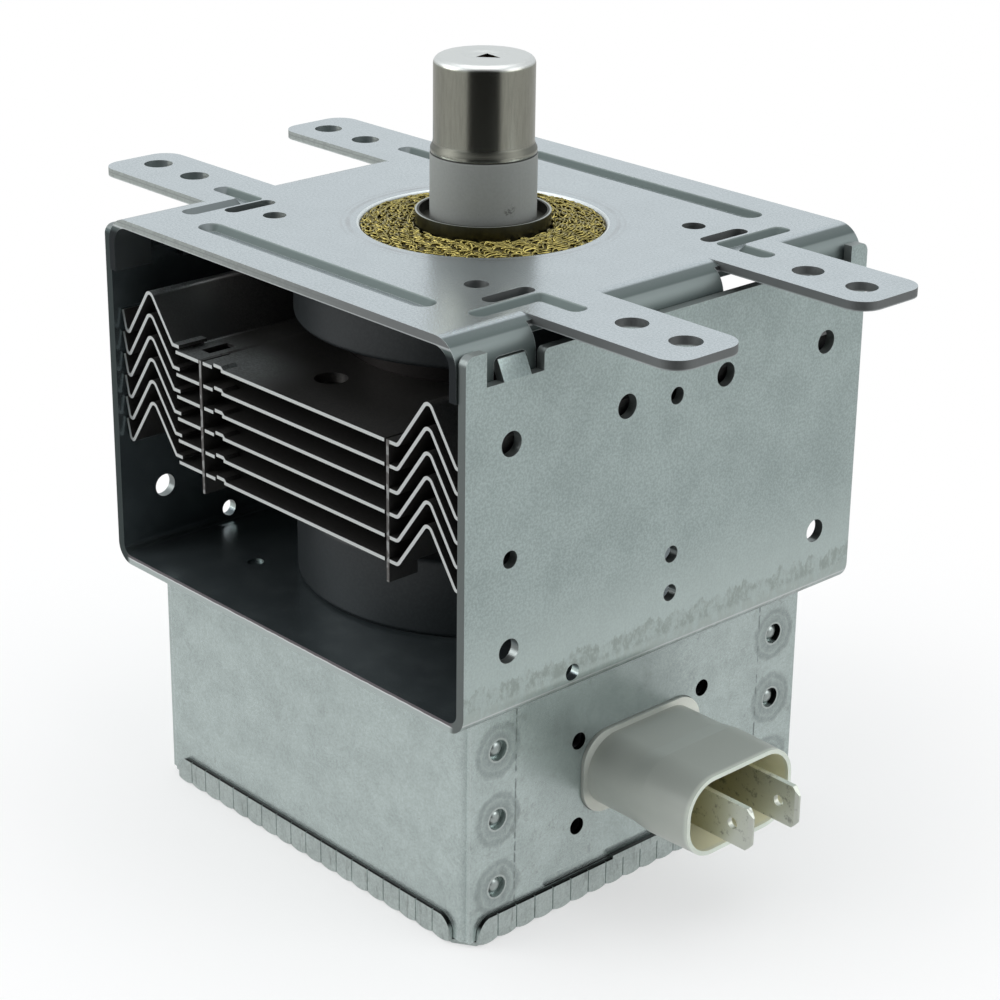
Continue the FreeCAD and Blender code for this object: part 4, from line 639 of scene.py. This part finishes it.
@dataclass(frozen=True)
class DrawnMetal:
    """Drawn metal with upright draw marks on its wall, a painted highlight on its top and painted shade on
    the gentle slopes below it.
    """

    name: str
    wall: Colour
    top: Colour
    roughness: float
    highlight_from: float
    highlight_beyond: float = 0.0

    def make(self) -> Material:
        """Build the material."""
        look = Look(self.name, self.wall)
        marks = look.fade(look.noise(0.35, 3.0, 0.6, 0.12), 0.35, 0.68, 0.0, 0.28)
        specks = look.fade(look.noise(0.25, 3.0, 0.7), 0.5, 0.75, 0.0, 0.3)
        look.coat(dimmed(self.wall, 0.6), look.either(marks, specks))
        # Painted highlight: upward faces above a height, and beyond a radius, take the pale top colour.
        high = look.fade(Z, self.highlight_from, self.highlight_from + 0.3)
        out = look.reach(X, Y)
        beyond = look.fade(out, self.highlight_beyond - 0.05, self.highlight_beyond)
        upward = look.fade(NZ, 0.12, 0.55)
        look.coat(self.top, upward, high, beyond)
        # Painted shade: gently upward faces below the highlight are painted darker.
        flare_shade = look.both(look.fade(NZ, 0.04, 0.30), look.math("SUBTRACT", 1.0, high))
        look.coat(dimmed(self.wall, 0.45), flare_shade)
        look.bump(look.noise(0.4, 2.0, 0.6, 0.15), 0.006, 0.5)
        softer = look.math("MULTIPLY_ADD", look.either(upward, flare_shade), 0.2, self.roughness)
        return look.finish(1.0, softer)


@dataclass(frozen=True)
class Matte:
    """A dull non-metal, such as ferrite, ceramic or epoxy, with fine specks."""

    name: str
    colour: Colour
    speck: Colour
    roughness: float
    grain: float = 0.4
    speck_share: float = 0.3

    def start(self) -> Look:
        """Lay down the specks."""
        look = Look(self.name, self.colour)
        pattern = look.fade(look.noise(self.grain, 3.0, 0.6), 0.35, 0.7, 0.0, self.speck_share)
        look.coat(self.speck, pattern)
        look.bump(look.noise(self.grain, 2.0), 0.015, 0.5)
        return look

    def make(self) -> Material:
        """Build the material."""
        return self.start().finish(0.0, self.roughness)


@dataclass(frozen=True)
class OutputCeramic(Matte):
    """The output's ceramic: grey, with a dark joint under the cap and a smudge low on one side."""

    top: float = 10.3
    joint: float = 0.22
    dark: Colour = (0.02, 0.02, 0.018)
    smudge: Colour = (0.075, 0.075, 0.07)
    smudge_centre: tuple[float, float] = (-1.8, 3.3)

    def make(self) -> Material:
        """Build the material."""
        look = self.start()
        near = look.fade(look.reach(Y, Z, self.smudge_centre), 1.3, 0.3)
        ragged = look.fade(look.noise(0.7, 4.0, 0.8), 0.45, 0.62)
        look.coat(self.smudge, near, ragged, look.fade(NX, 0.5, 0.7))
        look.coat(self.smudge, look.fade(look.noise(0.6, 2.0, 0.6), 0.74, 0.78, 0.0, 0.5))
        look.coat(self.dark, look.fade(Z, self.top - self.joint, self.top - 0.6 * self.joint))
        return look.finish(0.0, self.roughness)


@dataclass(frozen=True)
class BladeMetal:
    """Tinned blades: olive at the root, paler towards the tip, with small smudges."""

    name: str = "tinned"
    root: Colour = (0.55, 0.52, 0.34)
    tip: Colour = (0.66, 0.69, 0.62)
    smudge: Colour = (0.10, 0.10, 0.09)
    edge: Colour = (0.75, 0.78, 0.74)
    starts: float = 46.0
    ends: float = 58.5

    def make(self) -> Material:
        """Build the material."""
        look = Look(self.name, self.root)
        look.coat(self.tip, look.fade(X, self.starts, self.ends))
        marks = look.fade(look.noise(1.3, 4.0, 0.7), 0.54, 0.70, 0.0, 0.55)
        look.coat(self.smudge, marks)
        # Lighter on sharp corners: edge wear and a painted highlight.
        look.coat(self.edge, look.corner(0.12), 0.5)
        return look.finish(0.8, 0.42)


@dataclass(frozen=True)
class CreamPlastic:
    """The plug's moulding: cream outside, yellowish inside, with painted shade on its top, further in and
    between the blades, and painted light on part of its root face.
    """

    name: str = "cream_plastic"
    outside: Colour = (0.48, 0.505, 0.46)
    upper: Colour = (0.33, 0.35, 0.32)
    flange_painted_light: Colour = (0.84, 0.85, 0.77)
    inside: Colour = (0.90, 0.88, 0.65)
    deep_shade: Colour = (0.47, 0.46, 0.33)
    rim: Colour = (0.74, 0.79, 0.70)
    mouth: float = 53.6
    floor: float = 37.4
    root: float = 35.2
    level: float = -71.5

    def make(self) -> Material:
        """Build the material."""
        look = Look(self.name, self.outside)
        look.coat(dimmed(self.outside, 0.88), look.fade(look.noise(5.0, 3.0), 0.35, 0.7, 0.0, 0.25))
        # Painted shade: upward faces are painted darker.
        look.coat(self.upper, look.fade(NZ, 0.1, 0.9))
        rise = look.math("SUBTRACT", Z, self.level)
        # Painted light: two opposite quarters of the face at the housing's root are painted pale.
        look.coat(self.flange_painted_light, look.fade(X, self.root + 0.4, self.root), look.fade(NX, 0.4, 0.8),
                  look.fade(look.math("MULTIPLY", Y, rise), 18.0, 42.0))
        facing = look.math("MULTIPLY_ADD", rise, NZ, look.math("MULTIPLY", Y, NY))
        inward = look.fade(facing, -0.5, -2.0)
        floor = look.both(look.fade(NX, 0.7, 0.9), look.fade(X, self.mouth - 2.0, self.mouth - 6.0),
                          look.fade(X, self.root, self.root + 0.5))
        # Painted shade: the inside is painted darker further into the socket and between the blades.
        depth = look.fade(X, self.mouth - 1.0, self.floor + 4.0)
        between = look.fade(look.size(Y), 6.0, 3.0, 0.35, 1.0)
        shade = look.mix(look.both(depth, between), self.inside, self.deep_shade)
        look.coat(shade, look.either(inward, floor))
        lip = look.fade(X, self.mouth - 0.9, self.mouth - 0.2)
        look.coat(self.rim, lip, look.fade(NX, 0.1, 0.6, 0.5, 1.0))
        return look.finish(0.0, 0.38)


def stand(name: str, data: bpy.types.ID) -> bpy.types.Object:
    """Make an object from its data and put it in the scene."""
    item = bpy.data.objects.new(name, data)
    bpy.context.scene.collection.objects.link(item)
    return item


def pose(side: np.ndarray, up: np.ndarray, back: np.ndarray, place: Triple) -> Matrix:
    """Give the matrix of an object from its own three axes and its place."""
    turn = np.eye(4)
    turn[:3] = np.stack((side, up, back, place), axis=1)
    return Matrix(turn.tolist())


def new_piece(name: str, points: np.ndarray, faces: np.ndarray, finish: Material) -> bpy.types.Object:
    """Make a smooth object from whole arrays.

    Args:
        name: the piece's name.
        points: its vertices in millimetres.
        faces: its faces, one row of vertex numbers each.
        finish: its material.

    Returns:
        The object, riding on the root body.
    """
    mesh = bpy.data.meshes.new(name)
    mesh.from_pydata((points.reshape(-1, 3) * MM).tolist(), [], faces.tolist())
    mesh.polygons.foreach_set("use_smooth", np.ones(len(mesh.polygons), dtype=bool))
    mesh.materials.append(finish)
    mesh.update()
    piece = stand(name, mesh)
    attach(piece, "root")
    LOG.info("%s: %d faces", name, len(faces))
    return piece


def lathe(profile: list[tuple[float, float]], steps: int) -> tuple[np.ndarray, np.ndarray]:
    """Turn a closed half section about the Z axis.

    Point (i, j) is (r_i cos a_j, r_i sin a_j, z_i), with a_j in even steps round the circle.

    Args:
        profile: the section's corners as radius and height, counter-clockwise.
        steps: points round the circle.

    Returns:
        The points and the faces.
    """
    radius, height = np.array(profile).T
    angle = np.linspace(0.0, TAU, steps, endpoint=False)
    points = np.stack((np.outer(radius, np.cos(angle)), np.outer(radius, np.sin(angle)),
                       np.repeat(height[:, None], steps, axis=1)), axis=-1)
    return points, grid_faces(len(profile), steps, True, True)[:, ::-1]


def arc(centre: tuple[float, float], radius: float, first: float, last: float,
        steps: int) -> list[tuple[float, float]]:
    """Give points along an arc of a section.

    Args:
        centre: its centre as radius and height.
        radius: its radius.
        first: its first angle in degrees from outwards.
        last: its last angle.
        steps: how many parts it has.

    Returns:
        The points.
    """
    turn = np.radians(np.linspace(first, last, steps + 1))
    return [(centre[0] + radius * np.cos(a), centre[1] + radius * np.sin(a)) for a in turn]


def grid_faces(rows: int, columns: int, wrap_rows: bool, wrap_columns: bool) -> np.ndarray:
    """Number the four-sided faces of a grid of points.

    Face (i, j) joins points (i, j), (i, j+1), (i+1, j+1) and (i+1, j), modulo the grid where it wraps.

    Args:
        rows: points along the first parameter.
        columns: points along the second.
        wrap_rows: whether the last row joins the first.
        wrap_columns: whether the last column joins the first.

    Returns:
        One row of four vertex numbers for each face.
    """
    i, j = np.meshgrid(np.arange(rows if wrap_rows else rows - 1),
                       np.arange(columns if wrap_columns else columns - 1), indexing="ij")
    ahead, across = (i + 1) % rows, (j + 1) % columns
    corners = (i * columns + j, i * columns + across, ahead * columns + across, ahead * columns + j)
    return np.stack(corners, axis=-1).reshape(-1, 4)


def dress(material: Material, *nodes: str) -> None:
    """Give solids a material in their own slots.

    Args:
        material: the finish.
        nodes: the solids' names.
    """
    for name in nodes:
        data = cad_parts[name].data
        if not data.materials:
            data.materials.append(material)
        for index in range(len(data.materials)):
            data.materials[index] = material
        LOG.info("%s: %s", name, material.name)


@dataclass
class Shell:
    """Mounting plate, yoke, filter box and cover: the folded sheets."""

    clinch_rows: tuple[float, ...] = (-27.8, 27.8)
    clinch_levels: tuple[float, ...] = (-61.4, -72.0, -82.6)
    clinch_floor: float = 33.3
    dome_radius: float = 1.35
    dome_height: float = 0.82

    def build(self) -> None:
        """Dress the four sheets and round off the buttons in the clinches."""
        for node, finish in (
            ("top_plate", PlateZinc()),
            ("yoke_frame", YokeZinc()),
            ("filter_box", BoxZinc()),
            ("box_cover", CoverZinc()),
        ):
            dress(finish.make(), node)
        self.domes()

    def domes(self, rings: int = 7, steps: int = 28) -> None:
        """Cap each clinch button with a dome.

        At radius r the dome stands h (1 - (r/R)^3) over the recess's floor, on either side of the box.

        Args:
            rings: circles of points from rim to crown.
            steps: points round a circle.
        """
        radius = np.linspace(self.dome_radius, 0.05, rings)
        turn = np.linspace(0.0, TAU, steps, endpoint=False)
        height = self.dome_height * (1.0 - (radius / self.dome_radius) ** 3)
        first = np.arange(steps // 2 - 1)
        crown = np.stack((first, first + 1, steps - 2 - first, steps - 1 - first), axis=-1)
        dome = np.concatenate((grid_faces(rings, steps, False, True), crown + (rings - 1) * steps))
        points, faces = [], []
        for side in (1.0, -1.0):
            for row in self.clinch_rows:
                for level in self.clinch_levels:
                    x = np.repeat((side * (self.clinch_floor + height))[:, None], steps, axis=1)
                    y = row + side * np.outer(radius, np.cos(turn))
                    z = level + np.outer(radius, np.sin(turn))
                    faces.append(dome + len(points) * rings * steps)
                    points.append(np.stack((x, y, z), axis=-1))
        zinc = PlainMetal("pressed_zinc", (0.46, 0.51, 0.495), 0.3, metallic=0.75).make()
        new_piece("clinch_domes", np.concatenate(points), np.concatenate(faces), zinc)


@dataclass
class Core:
    """Magnets, fins and what the fins clamp."""

    fins: int = 6

    def build(self) -> None:
        """Dress the magnets, fins and inner pieces."""
        for finish, nodes in (
            (Matte("ferrite", (0.013, 0.017, 0.019), (0.032, 0.038, 0.041), 0.5, speck_share=0.35),
             ("upper_magnet", "lower_magnet", "choke_core_1", "choke_core_2")),
            (FinSheet(), [f"cooling_fin_{number}" for number in range(2, self.fins + 1)]),
            (FinSheet("fin_aluminium_top", lit=True), ("cooling_fin_1",)),
            (PlainMetal("tarnished_copper", (0.034, 0.031, 0.030), 0.45), ("anode_cylinder",)),
            (PlainMetal("copper", (0.72, 0.42, 0.30), 0.4),
             ("even_vanes", "odd_vanes", "strap_rings", "exhaust_tube", "antenna_lead")),
            (PlainMetal("enamelled_wire", (0.45, 0.18, 0.09), 0.3), ("choke_coil_1", "choke_coil_2")),
            (PlainMetal("pole_steel", (0.25, 0.24, 0.23), 0.4),
             ("upper_pole_piece", "lower_pole_piece", "cathode_seal_cup", "upper_end_hat", "lower_end_hat",
              "centre_lead", "side_lead", "filament")),
            (Matte("stem_alumina", (0.80, 0.79, 0.76), (0.62, 0.61, 0.58), 0.6), ("stem_ceramic",)),
            (Matte("epoxy", (0.022, 0.022, 0.024), (0.040, 0.040, 0.042), 0.35), ("capacitor",)),
        ):
            dress(finish.make(), *nodes)


@dataclass
class Output:
    """Antenna cap, ceramic, seal cup and the wire gasket."""

    cap_radius: float = 7.2
    cap_bore: float = 7.1
    cap_foot: float = 10.3
    lip: float = 1.0
    cap_top: float = 23.9
    cap_wall: float = 0.5
    cap_round: float = 1.1
    recess: float = 2.9
    recess_depth: float = 0.22
    vent_side: float = 2.45
    vent_edge: float = 0.08
    vent: tuple[tuple[float, float], ...] = ((-0.25, -0.48), (0.87, 0.48), (-0.55, 0.70))
    cup_radius: float = 9.75
    ring_outer: float = 17.5
    ring_foot: float = -1.3
    crown: float = 0.5
    wire: float = 0.16
    course: float = 0.54
    loop: float = 3.1
    loop_steps: int = 20
    sway: float = 0.85
    hook: float = 0.62
    dip: float = 0.16
    drift_along: float = 1.5
    drift_across: float = 0.30
    drift_up: float = 0.15
    sides: int = 5
    drift_knots: int = 160
    seed: int = 7

    def build(self) -> None:
        """Build the output end's turned pieces and the knitted ring."""
        metal = DrawnMetal("drawn_cap", (0.33, 0.33, 0.28), (0.70, 0.71, 0.695), 0.22, 21.0)
        dress(metal.make(), "antenna_cap")
        self.cap(metal.make())
        grey, speck = (0.265, 0.275, 0.26), (0.16, 0.165, 0.155)
        dress(OutputCeramic("output_alumina", grey, speck, 0.6, speck_share=0.15).make(), "output_ceramic")
        cup = DrawnMetal("cup_metal", (0.062, 0.062, 0.050), (0.50, 0.52, 0.50), 0.28, -2.0, 9.5)
        dress(cup.make(), "output_seal_cup")
        self.gasket()

    def cap_section(self) -> list[tuple[float, float]]:
        """Give the cap's outside as radius and height, from its foot over the soft shoulder to the recess."""
        foot, radius, top, rounded = self.cap_foot, self.cap_radius, self.cap_top, self.cap_round
        lip_top, recess = foot + self.lip, self.recess
        return [
            (self.cap_bore, foot), (7.50, foot), *arc((7.52, foot + 0.08), 0.08, -90.0, 0.0, 4),
            (7.59, lip_top - 0.55), (7.55, lip_top - 0.35), (7.42, lip_top - 0.10), (7.30, lip_top + 0.15),
            (radius + 0.03, lip_top + 0.45), (radius, lip_top + 0.8), (radius, top - rounded),
            *arc((radius - rounded, top - rounded), rounded, 8.0, 90.0, 10),
            (recess + 0.5, top), (recess + 0.15, top - 0.05), (recess - 0.1, top - self.recess_depth + 0.04),
            (recess - 0.3, top - self.recess_depth)]

    def vent_reach(self, rays: np.ndarray) -> np.ndarray:
        """Give how far out the vent's edge lies along each ray: where the ray meets the side that it crosses.

        Args:
            rays: one level unit vector from the axis in each row.

        Returns:
            The distance along each.
        """
        corners = np.array(self.vent) * self.vent_side
        reach = np.full(len(rays), np.inf)
        for start, stop in zip(corners, np.roll(corners, -1, axis=0)):
            out = np.array((stop[1] - start[1], start[0] - stop[0]))
            along = rays @ out
            crossed = along > 1e-9
            met = np.where(crossed, (start @ out) / np.where(crossed, along, 1.0), np.inf)
            reach = np.minimum(reach, met)
        return reach

    def cap(self, finish: Material, steps: int = 128) -> None:
        """Turn the cap with soft shoulders and pierce its recessed top with the three-cornered vent.

        The recess's floor is ruled between a circle and the vent's outline, along rays from the axis.

        Args:
            finish: its metal.
            steps: points round a circle.
        """
        angle = np.linspace(0.0, TAU, steps, endpoint=False)
        rays = np.stack((np.cos(angle), np.sin(angle)), axis=-1)
        reach = self.vent_reach(rays)
        floor, lip_top = self.cap_top - self.recess_depth, self.cap_foot + self.lip
        bore = self.cap_radius - self.cap_wall
        section = self.cap_section()
        rim = section[-1][0]
        section += [(rim * (1.0 - share) + reach * share, floor) for share in (0.5, 1.0)]
        section += [(reach, floor - self.vent_edge), (self.recess, floor - self.cap_wall),
                    (bore, self.cap_top - self.cap_wall), (bore, lip_top + 0.2),
                    (self.cap_bore, lip_top - 0.2)]
        rings = [np.column_stack((rays * np.reshape(radius, (-1, 1)), np.full(steps, height)))
                 for radius, height in section]
        faces = grid_faces(len(rings), steps, True, True)[:, ::-1]
        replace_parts(new_piece("cap_shell", np.array(rings), faces, finish), "antenna_cap")

    def height(self, radius: np.ndarray) -> np.ndarray:
        """Give the gasket's top at a radius: a low crown between the cup and the plate."""
        inner, outer = self.cup_radius + 0.1, self.ring_outer
        share = (radius - inner) / (outer - inner)
        return self.crown - 0.25 - 1.9 * (share - 0.45) ** 2

    def gasket(self) -> None:
        """Lay the gasket's low core ring, painted dark as the shade among the deeper wires, and knit the wire
        over it.
        """
        inner, outer = self.cup_radius + 0.1, self.ring_outer
        radii = np.linspace(outer - 0.1, inner + 0.1, 12)
        top = list(zip(radii.tolist(), (self.height(radii) - 0.42).tolist()))
        points, faces = lathe([(inner, self.ring_foot), (outer, self.ring_foot), (outer, -0.35), *top,
                               (inner, top[-1][1] - 0.1)], 160)
        # Painted shade: the core's dark olive stands for the shade among the deeper wires.
        olive = Matte("gasket_core", (0.060, 0.048, 0.013), (0.16, 0.135, 0.045), 0.6, 0.5, 0.8)
        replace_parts(new_piece("gasket_core", points, faces, olive.make()), "rf_gasket")
        self.knit(inner, outer)

    def drift(self, rng: np.random.Generator, steps: int) -> np.ndarray:
        """Give a slow random walk from -1 to 1 along a course of so many steps."""
        knots = np.append(rng.uniform(-1.0, 1.0, self.drift_knots), 0.0)
        return np.interp(np.arange(steps), np.linspace(0, steps, self.drift_knots + 1), knots)

    def knit(self, inner: float, outer: float) -> None:
        """Knit courses of wire loops.

        Along a course the wire runs as a(t) = t + h sin 2t round the ring and r(t) = r0 + s cos t across it,
        with the hook h and the sway s, and dips as cos 2t, so that each loop hooks the next course. A slow
        random drift pulls the loops out of step.

        Args:
            inner: the ring's inner radius.
            outer: the ring's outer radius.
        """
        rng = np.random.default_rng(self.seed)
        wires, joins, count = [], [], 0
        for row, base in enumerate(np.arange(inner + 0.35, outer - 0.25, self.course)):
            loops = int(round(TAU * base / self.loop))
            steps = loops * self.loop_steps
            t = np.linspace(0.0, TAU * loops, steps, endpoint=False) + row * 1.3
            wander, dips = (self.drift(rng, steps) for _ in range(2))
            angle = (t + self.hook * np.sin(2.0 * t) + self.drift_along * wander) / loops
            radius = base + self.sway * np.cos(t) + self.drift_across * dips
            radius = np.clip(radius, inner + self.wire, outer - self.wire)
            height = self.height(radius) - 0.24 + self.dip * np.cos(2.0 * t) + self.drift_up * dips
            line = np.stack((radius * np.cos(angle), radius * np.sin(angle), height), axis=-1)
            ahead = np.roll(line, -1, axis=0) - np.roll(line, 1, axis=0)
            ahead /= np.linalg.norm(ahead, axis=1, keepdims=True)
            up = np.array((0.0, 0.0, 1.0)) - ahead * ahead[:, 2:3]
            up /= np.linalg.norm(up, axis=1, keepdims=True)
            side = np.cross(ahead, up)
            for turn in np.linspace(0.0, TAU, self.sides, endpoint=False):
                wires.append(line + self.wire * (np.cos(turn) * up + np.sin(turn) * side))
            joins.append(grid_faces(self.sides, steps, True, True) + count)
            count += self.sides * steps
        brass = PlainMetal("knit_wire", (0.47, 0.395, 0.13), 0.24, grain=1.4, variation=0.6).make()
        mesh = new_piece("knitted_wire", np.concatenate(wires), np.concatenate(joins), brass)
        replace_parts(mesh, "rf_gasket")


@dataclass
class Plug:
    """Plug housing and its blades."""

    def build(self) -> None:
        """Dress the plug."""
        dress(CreamPlastic().make(), "plug_housing")
        dress(BladeMetal().make(), "blade_terminal_1", "blade_terminal_2", "stem_terminal_1",
              "stem_terminal_2")


@dataclass
class Studio:
    """Camera, floor, lamps and surroundings. The floor's shadow and openings are in millimetres."""

    focal_px: float = 2539.5
    centre_px: tuple[float, float] = (456.2, 446.2)
    image_px: float = 1000.0
    eye: Triple = (257.03 * MM, -235.89 * MM, 101.39 * MM)
    right: Triple = (0.66683, 0.74519, 0.00553)
    down: Triple = (0.27400, -0.23827, -0.93175)
    ahead: Triple = (-0.69301, 0.62283, -0.36306)
    sensor: float = 36.0
    floor_level: float = -90.5 * MM
    floor_size: float = 3.0
    room_level: float = 0.85
    open_level: float = 0.03
    open_from: float = 0.76
    open_full: float = 0.84
    floor_mirror: float = 0.62
    open_near: float = 170.0
    open_far: float = 220.0
    shadow_near: float = 55.0
    shadow_far: float = 150.0
    tint: Colour = (0.94, 0.98, 1.0)

    def heading(self) -> tuple[float, float]:
        """Give the level direction from the object towards the camera."""
        span = float(np.hypot(self.eye[0], self.eye[1]))
        return self.eye[0] / span, self.eye[1] / span

    def build(self) -> None:
        """Set up everything that isn't the object."""
        self.place_camera()
        self.lay_floor()
        self.light_world()
        for lamp in (
            ("overhead", (0.05, -0.05, 0.75), (0.0, 0.0, 0.0), 0.8, 3.0),
            ("left_box", (-0.45, -0.60, 0.30), (0.0, 0.0, -0.03), 0.5, 2.5),
            ("right_box", (0.70, 0.40, 0.30), (0.0, 0.0, -0.03), 0.5, 1.5),
        ):
            self.hang_lamp(*lamp)
        bpy.context.scene.view_settings.view_transform = "Standard"

    def place_camera(self) -> None:
        """Stand the camera where it was, from its rows of right, down and ahead."""
        data = bpy.data.cameras.new("camera")
        data.sensor_width = self.sensor
        data.lens = self.focal_px * self.sensor / self.image_px
        data.shift_x = (self.image_px / 2 - self.centre_px[0]) / self.image_px
        data.shift_y = (self.centre_px[1] - self.image_px / 2) / self.image_px
        data.clip_start = 0.01
        camera = stand("camera", data)
        camera.matrix_world = pose(self.right, np.negative(self.down), np.negative(self.ahead), self.eye)
        bpy.context.scene.camera = camera

    def lay_floor(self) -> None:
        """Lay a pale floor that keeps the shadow near the object and fades to white further out.

        Glossy surfaces see it a little darker, and dark where the room is open.
        """
        look = Look("floor", (0.86, 0.86, 0.86))
        look.finish(0.0, 0.9)
        rays = look.nodes.new("ShaderNodeLightPath").outputs
        out = look.reach(X, Y)
        far = look.fade(out, self.shadow_near, self.shadow_far, 0.55, 1.0)
        east, north = self.heading()
        towards = look.math("MULTIPLY_ADD", Y, north, look.math("MULTIPLY", X, east))
        share = look.math("DIVIDE", towards, look.math("MAXIMUM", out, 1.0))
        open_side = look.both(look.fade(share, self.open_from, self.open_full),
                              look.fade(out, self.open_near, self.open_far))
        level = look.math("MULTIPLY_ADD", open_side, self.open_level - self.floor_mirror, self.floor_mirror)
        mirrored, white = (look.nodes.new("ShaderNodeEmission") for _ in range(2))
        look.feed(mirrored.inputs["Strength"], level)
        through = look.either(rays["Is Glossy Ray"], rays["Is Transmission Ray"])
        glow = look.blend(through, white.outputs[0], mirrored.outputs[0])
        seen = look.either(look.both(rays["Is Camera Ray"], far), through)
        look.links.new(look.blend(seen, look.shader.outputs[0], glow), look.surface)
        half = self.floor_size / 2
        corners = [(x * half, y * half, self.floor_level) for x, y in ((-1, -1), (1, -1), (1, 1), (-1, 1))]
        mesh = bpy.data.meshes.new("floor")
        mesh.from_pydata(corners, [], [(0, 1, 2, 3)])
        mesh.materials.append(look.material)
        stand("floor", mesh)

    def light_world(self) -> None:
        """Surround the object with a soft white room that is open and dark towards the camera."""
        world = bpy.data.worlds.new("studio")
        world.use_nodes = True
        nodes, links = world.node_tree.nodes, world.node_tree.links
        nodes.clear()
        ray, flat, unit, towards, share, soft, white, rays, blend, output = (
            nodes.new("ShaderNode" + kind) for kind in (
                "TexCoord", "VectorMath", "VectorMath", "VectorMath", "MapRange", "Background", "Background",
                "LightPath", "MixShader", "OutputWorld"))
        flat.operation, unit.operation, towards.operation = "MULTIPLY", "NORMALIZE", "DOT_PRODUCT"
        flat.inputs[1].default_value = (1.0, 1.0, 0.0)
        towards.inputs[1].default_value = (*self.heading(), 0.0)
        share.interpolation_type = "SMOOTHSTEP"
        levels = (self.open_from, self.open_full, self.room_level, self.open_level)
        for target, value in zip(share.inputs[1:], levels):
            target.default_value = value
        soft.inputs["Color"].default_value = (*self.tint, 1.0)
        for source, target in (
            (ray.outputs["Generated"], flat.inputs[0]),
            (flat.outputs[0], unit.inputs[0]),
            (unit.outputs[0], towards.inputs[0]),
            (towards.outputs["Value"], share.inputs[0]),
            (share.outputs[0], soft.inputs["Strength"]),
            (rays.outputs["Is Camera Ray"], blend.inputs[0]),
            (soft.outputs[0], blend.inputs[1]),
            (white.outputs[0], blend.inputs[2]),
            (blend.outputs[0], output.inputs[0]),
        ):
            links.new(source, target)
        bpy.context.scene.world = world

    def hang_lamp(self, name: str, place: Triple, target: Triple, width: float, power: float) -> None:
        """Hang a square soft lamp that faces a point.

        Args:
            name: the lamp's name.
            place: where it hangs.
            target: what it faces.
            width: its side.
            power: its power in watts.
        """
        data = bpy.data.lights.new(name, "AREA")
        data.size = width
        data.energy = power
        back = np.array(place) - np.array(target)
        back /= np.linalg.norm(back)
        side = np.cross((0.0, 0.0, 1.0), back)
        side /= np.linalg.norm(side)
        stand(name, data).matrix_world = pose(side, np.cross(back, side), back, place)


def main() -> None:
    """Build the object's looks and the studio, in order."""
    logging.basicConfig(level=logging.INFO, format="%(name)s: %(message)s")
    for part in (Shell(), Core(), Output(), Plug(), Studio()):
        part.build()
        LOG.info("built %s", type(part).__name__)


if __name__ == "__main__":
    main()
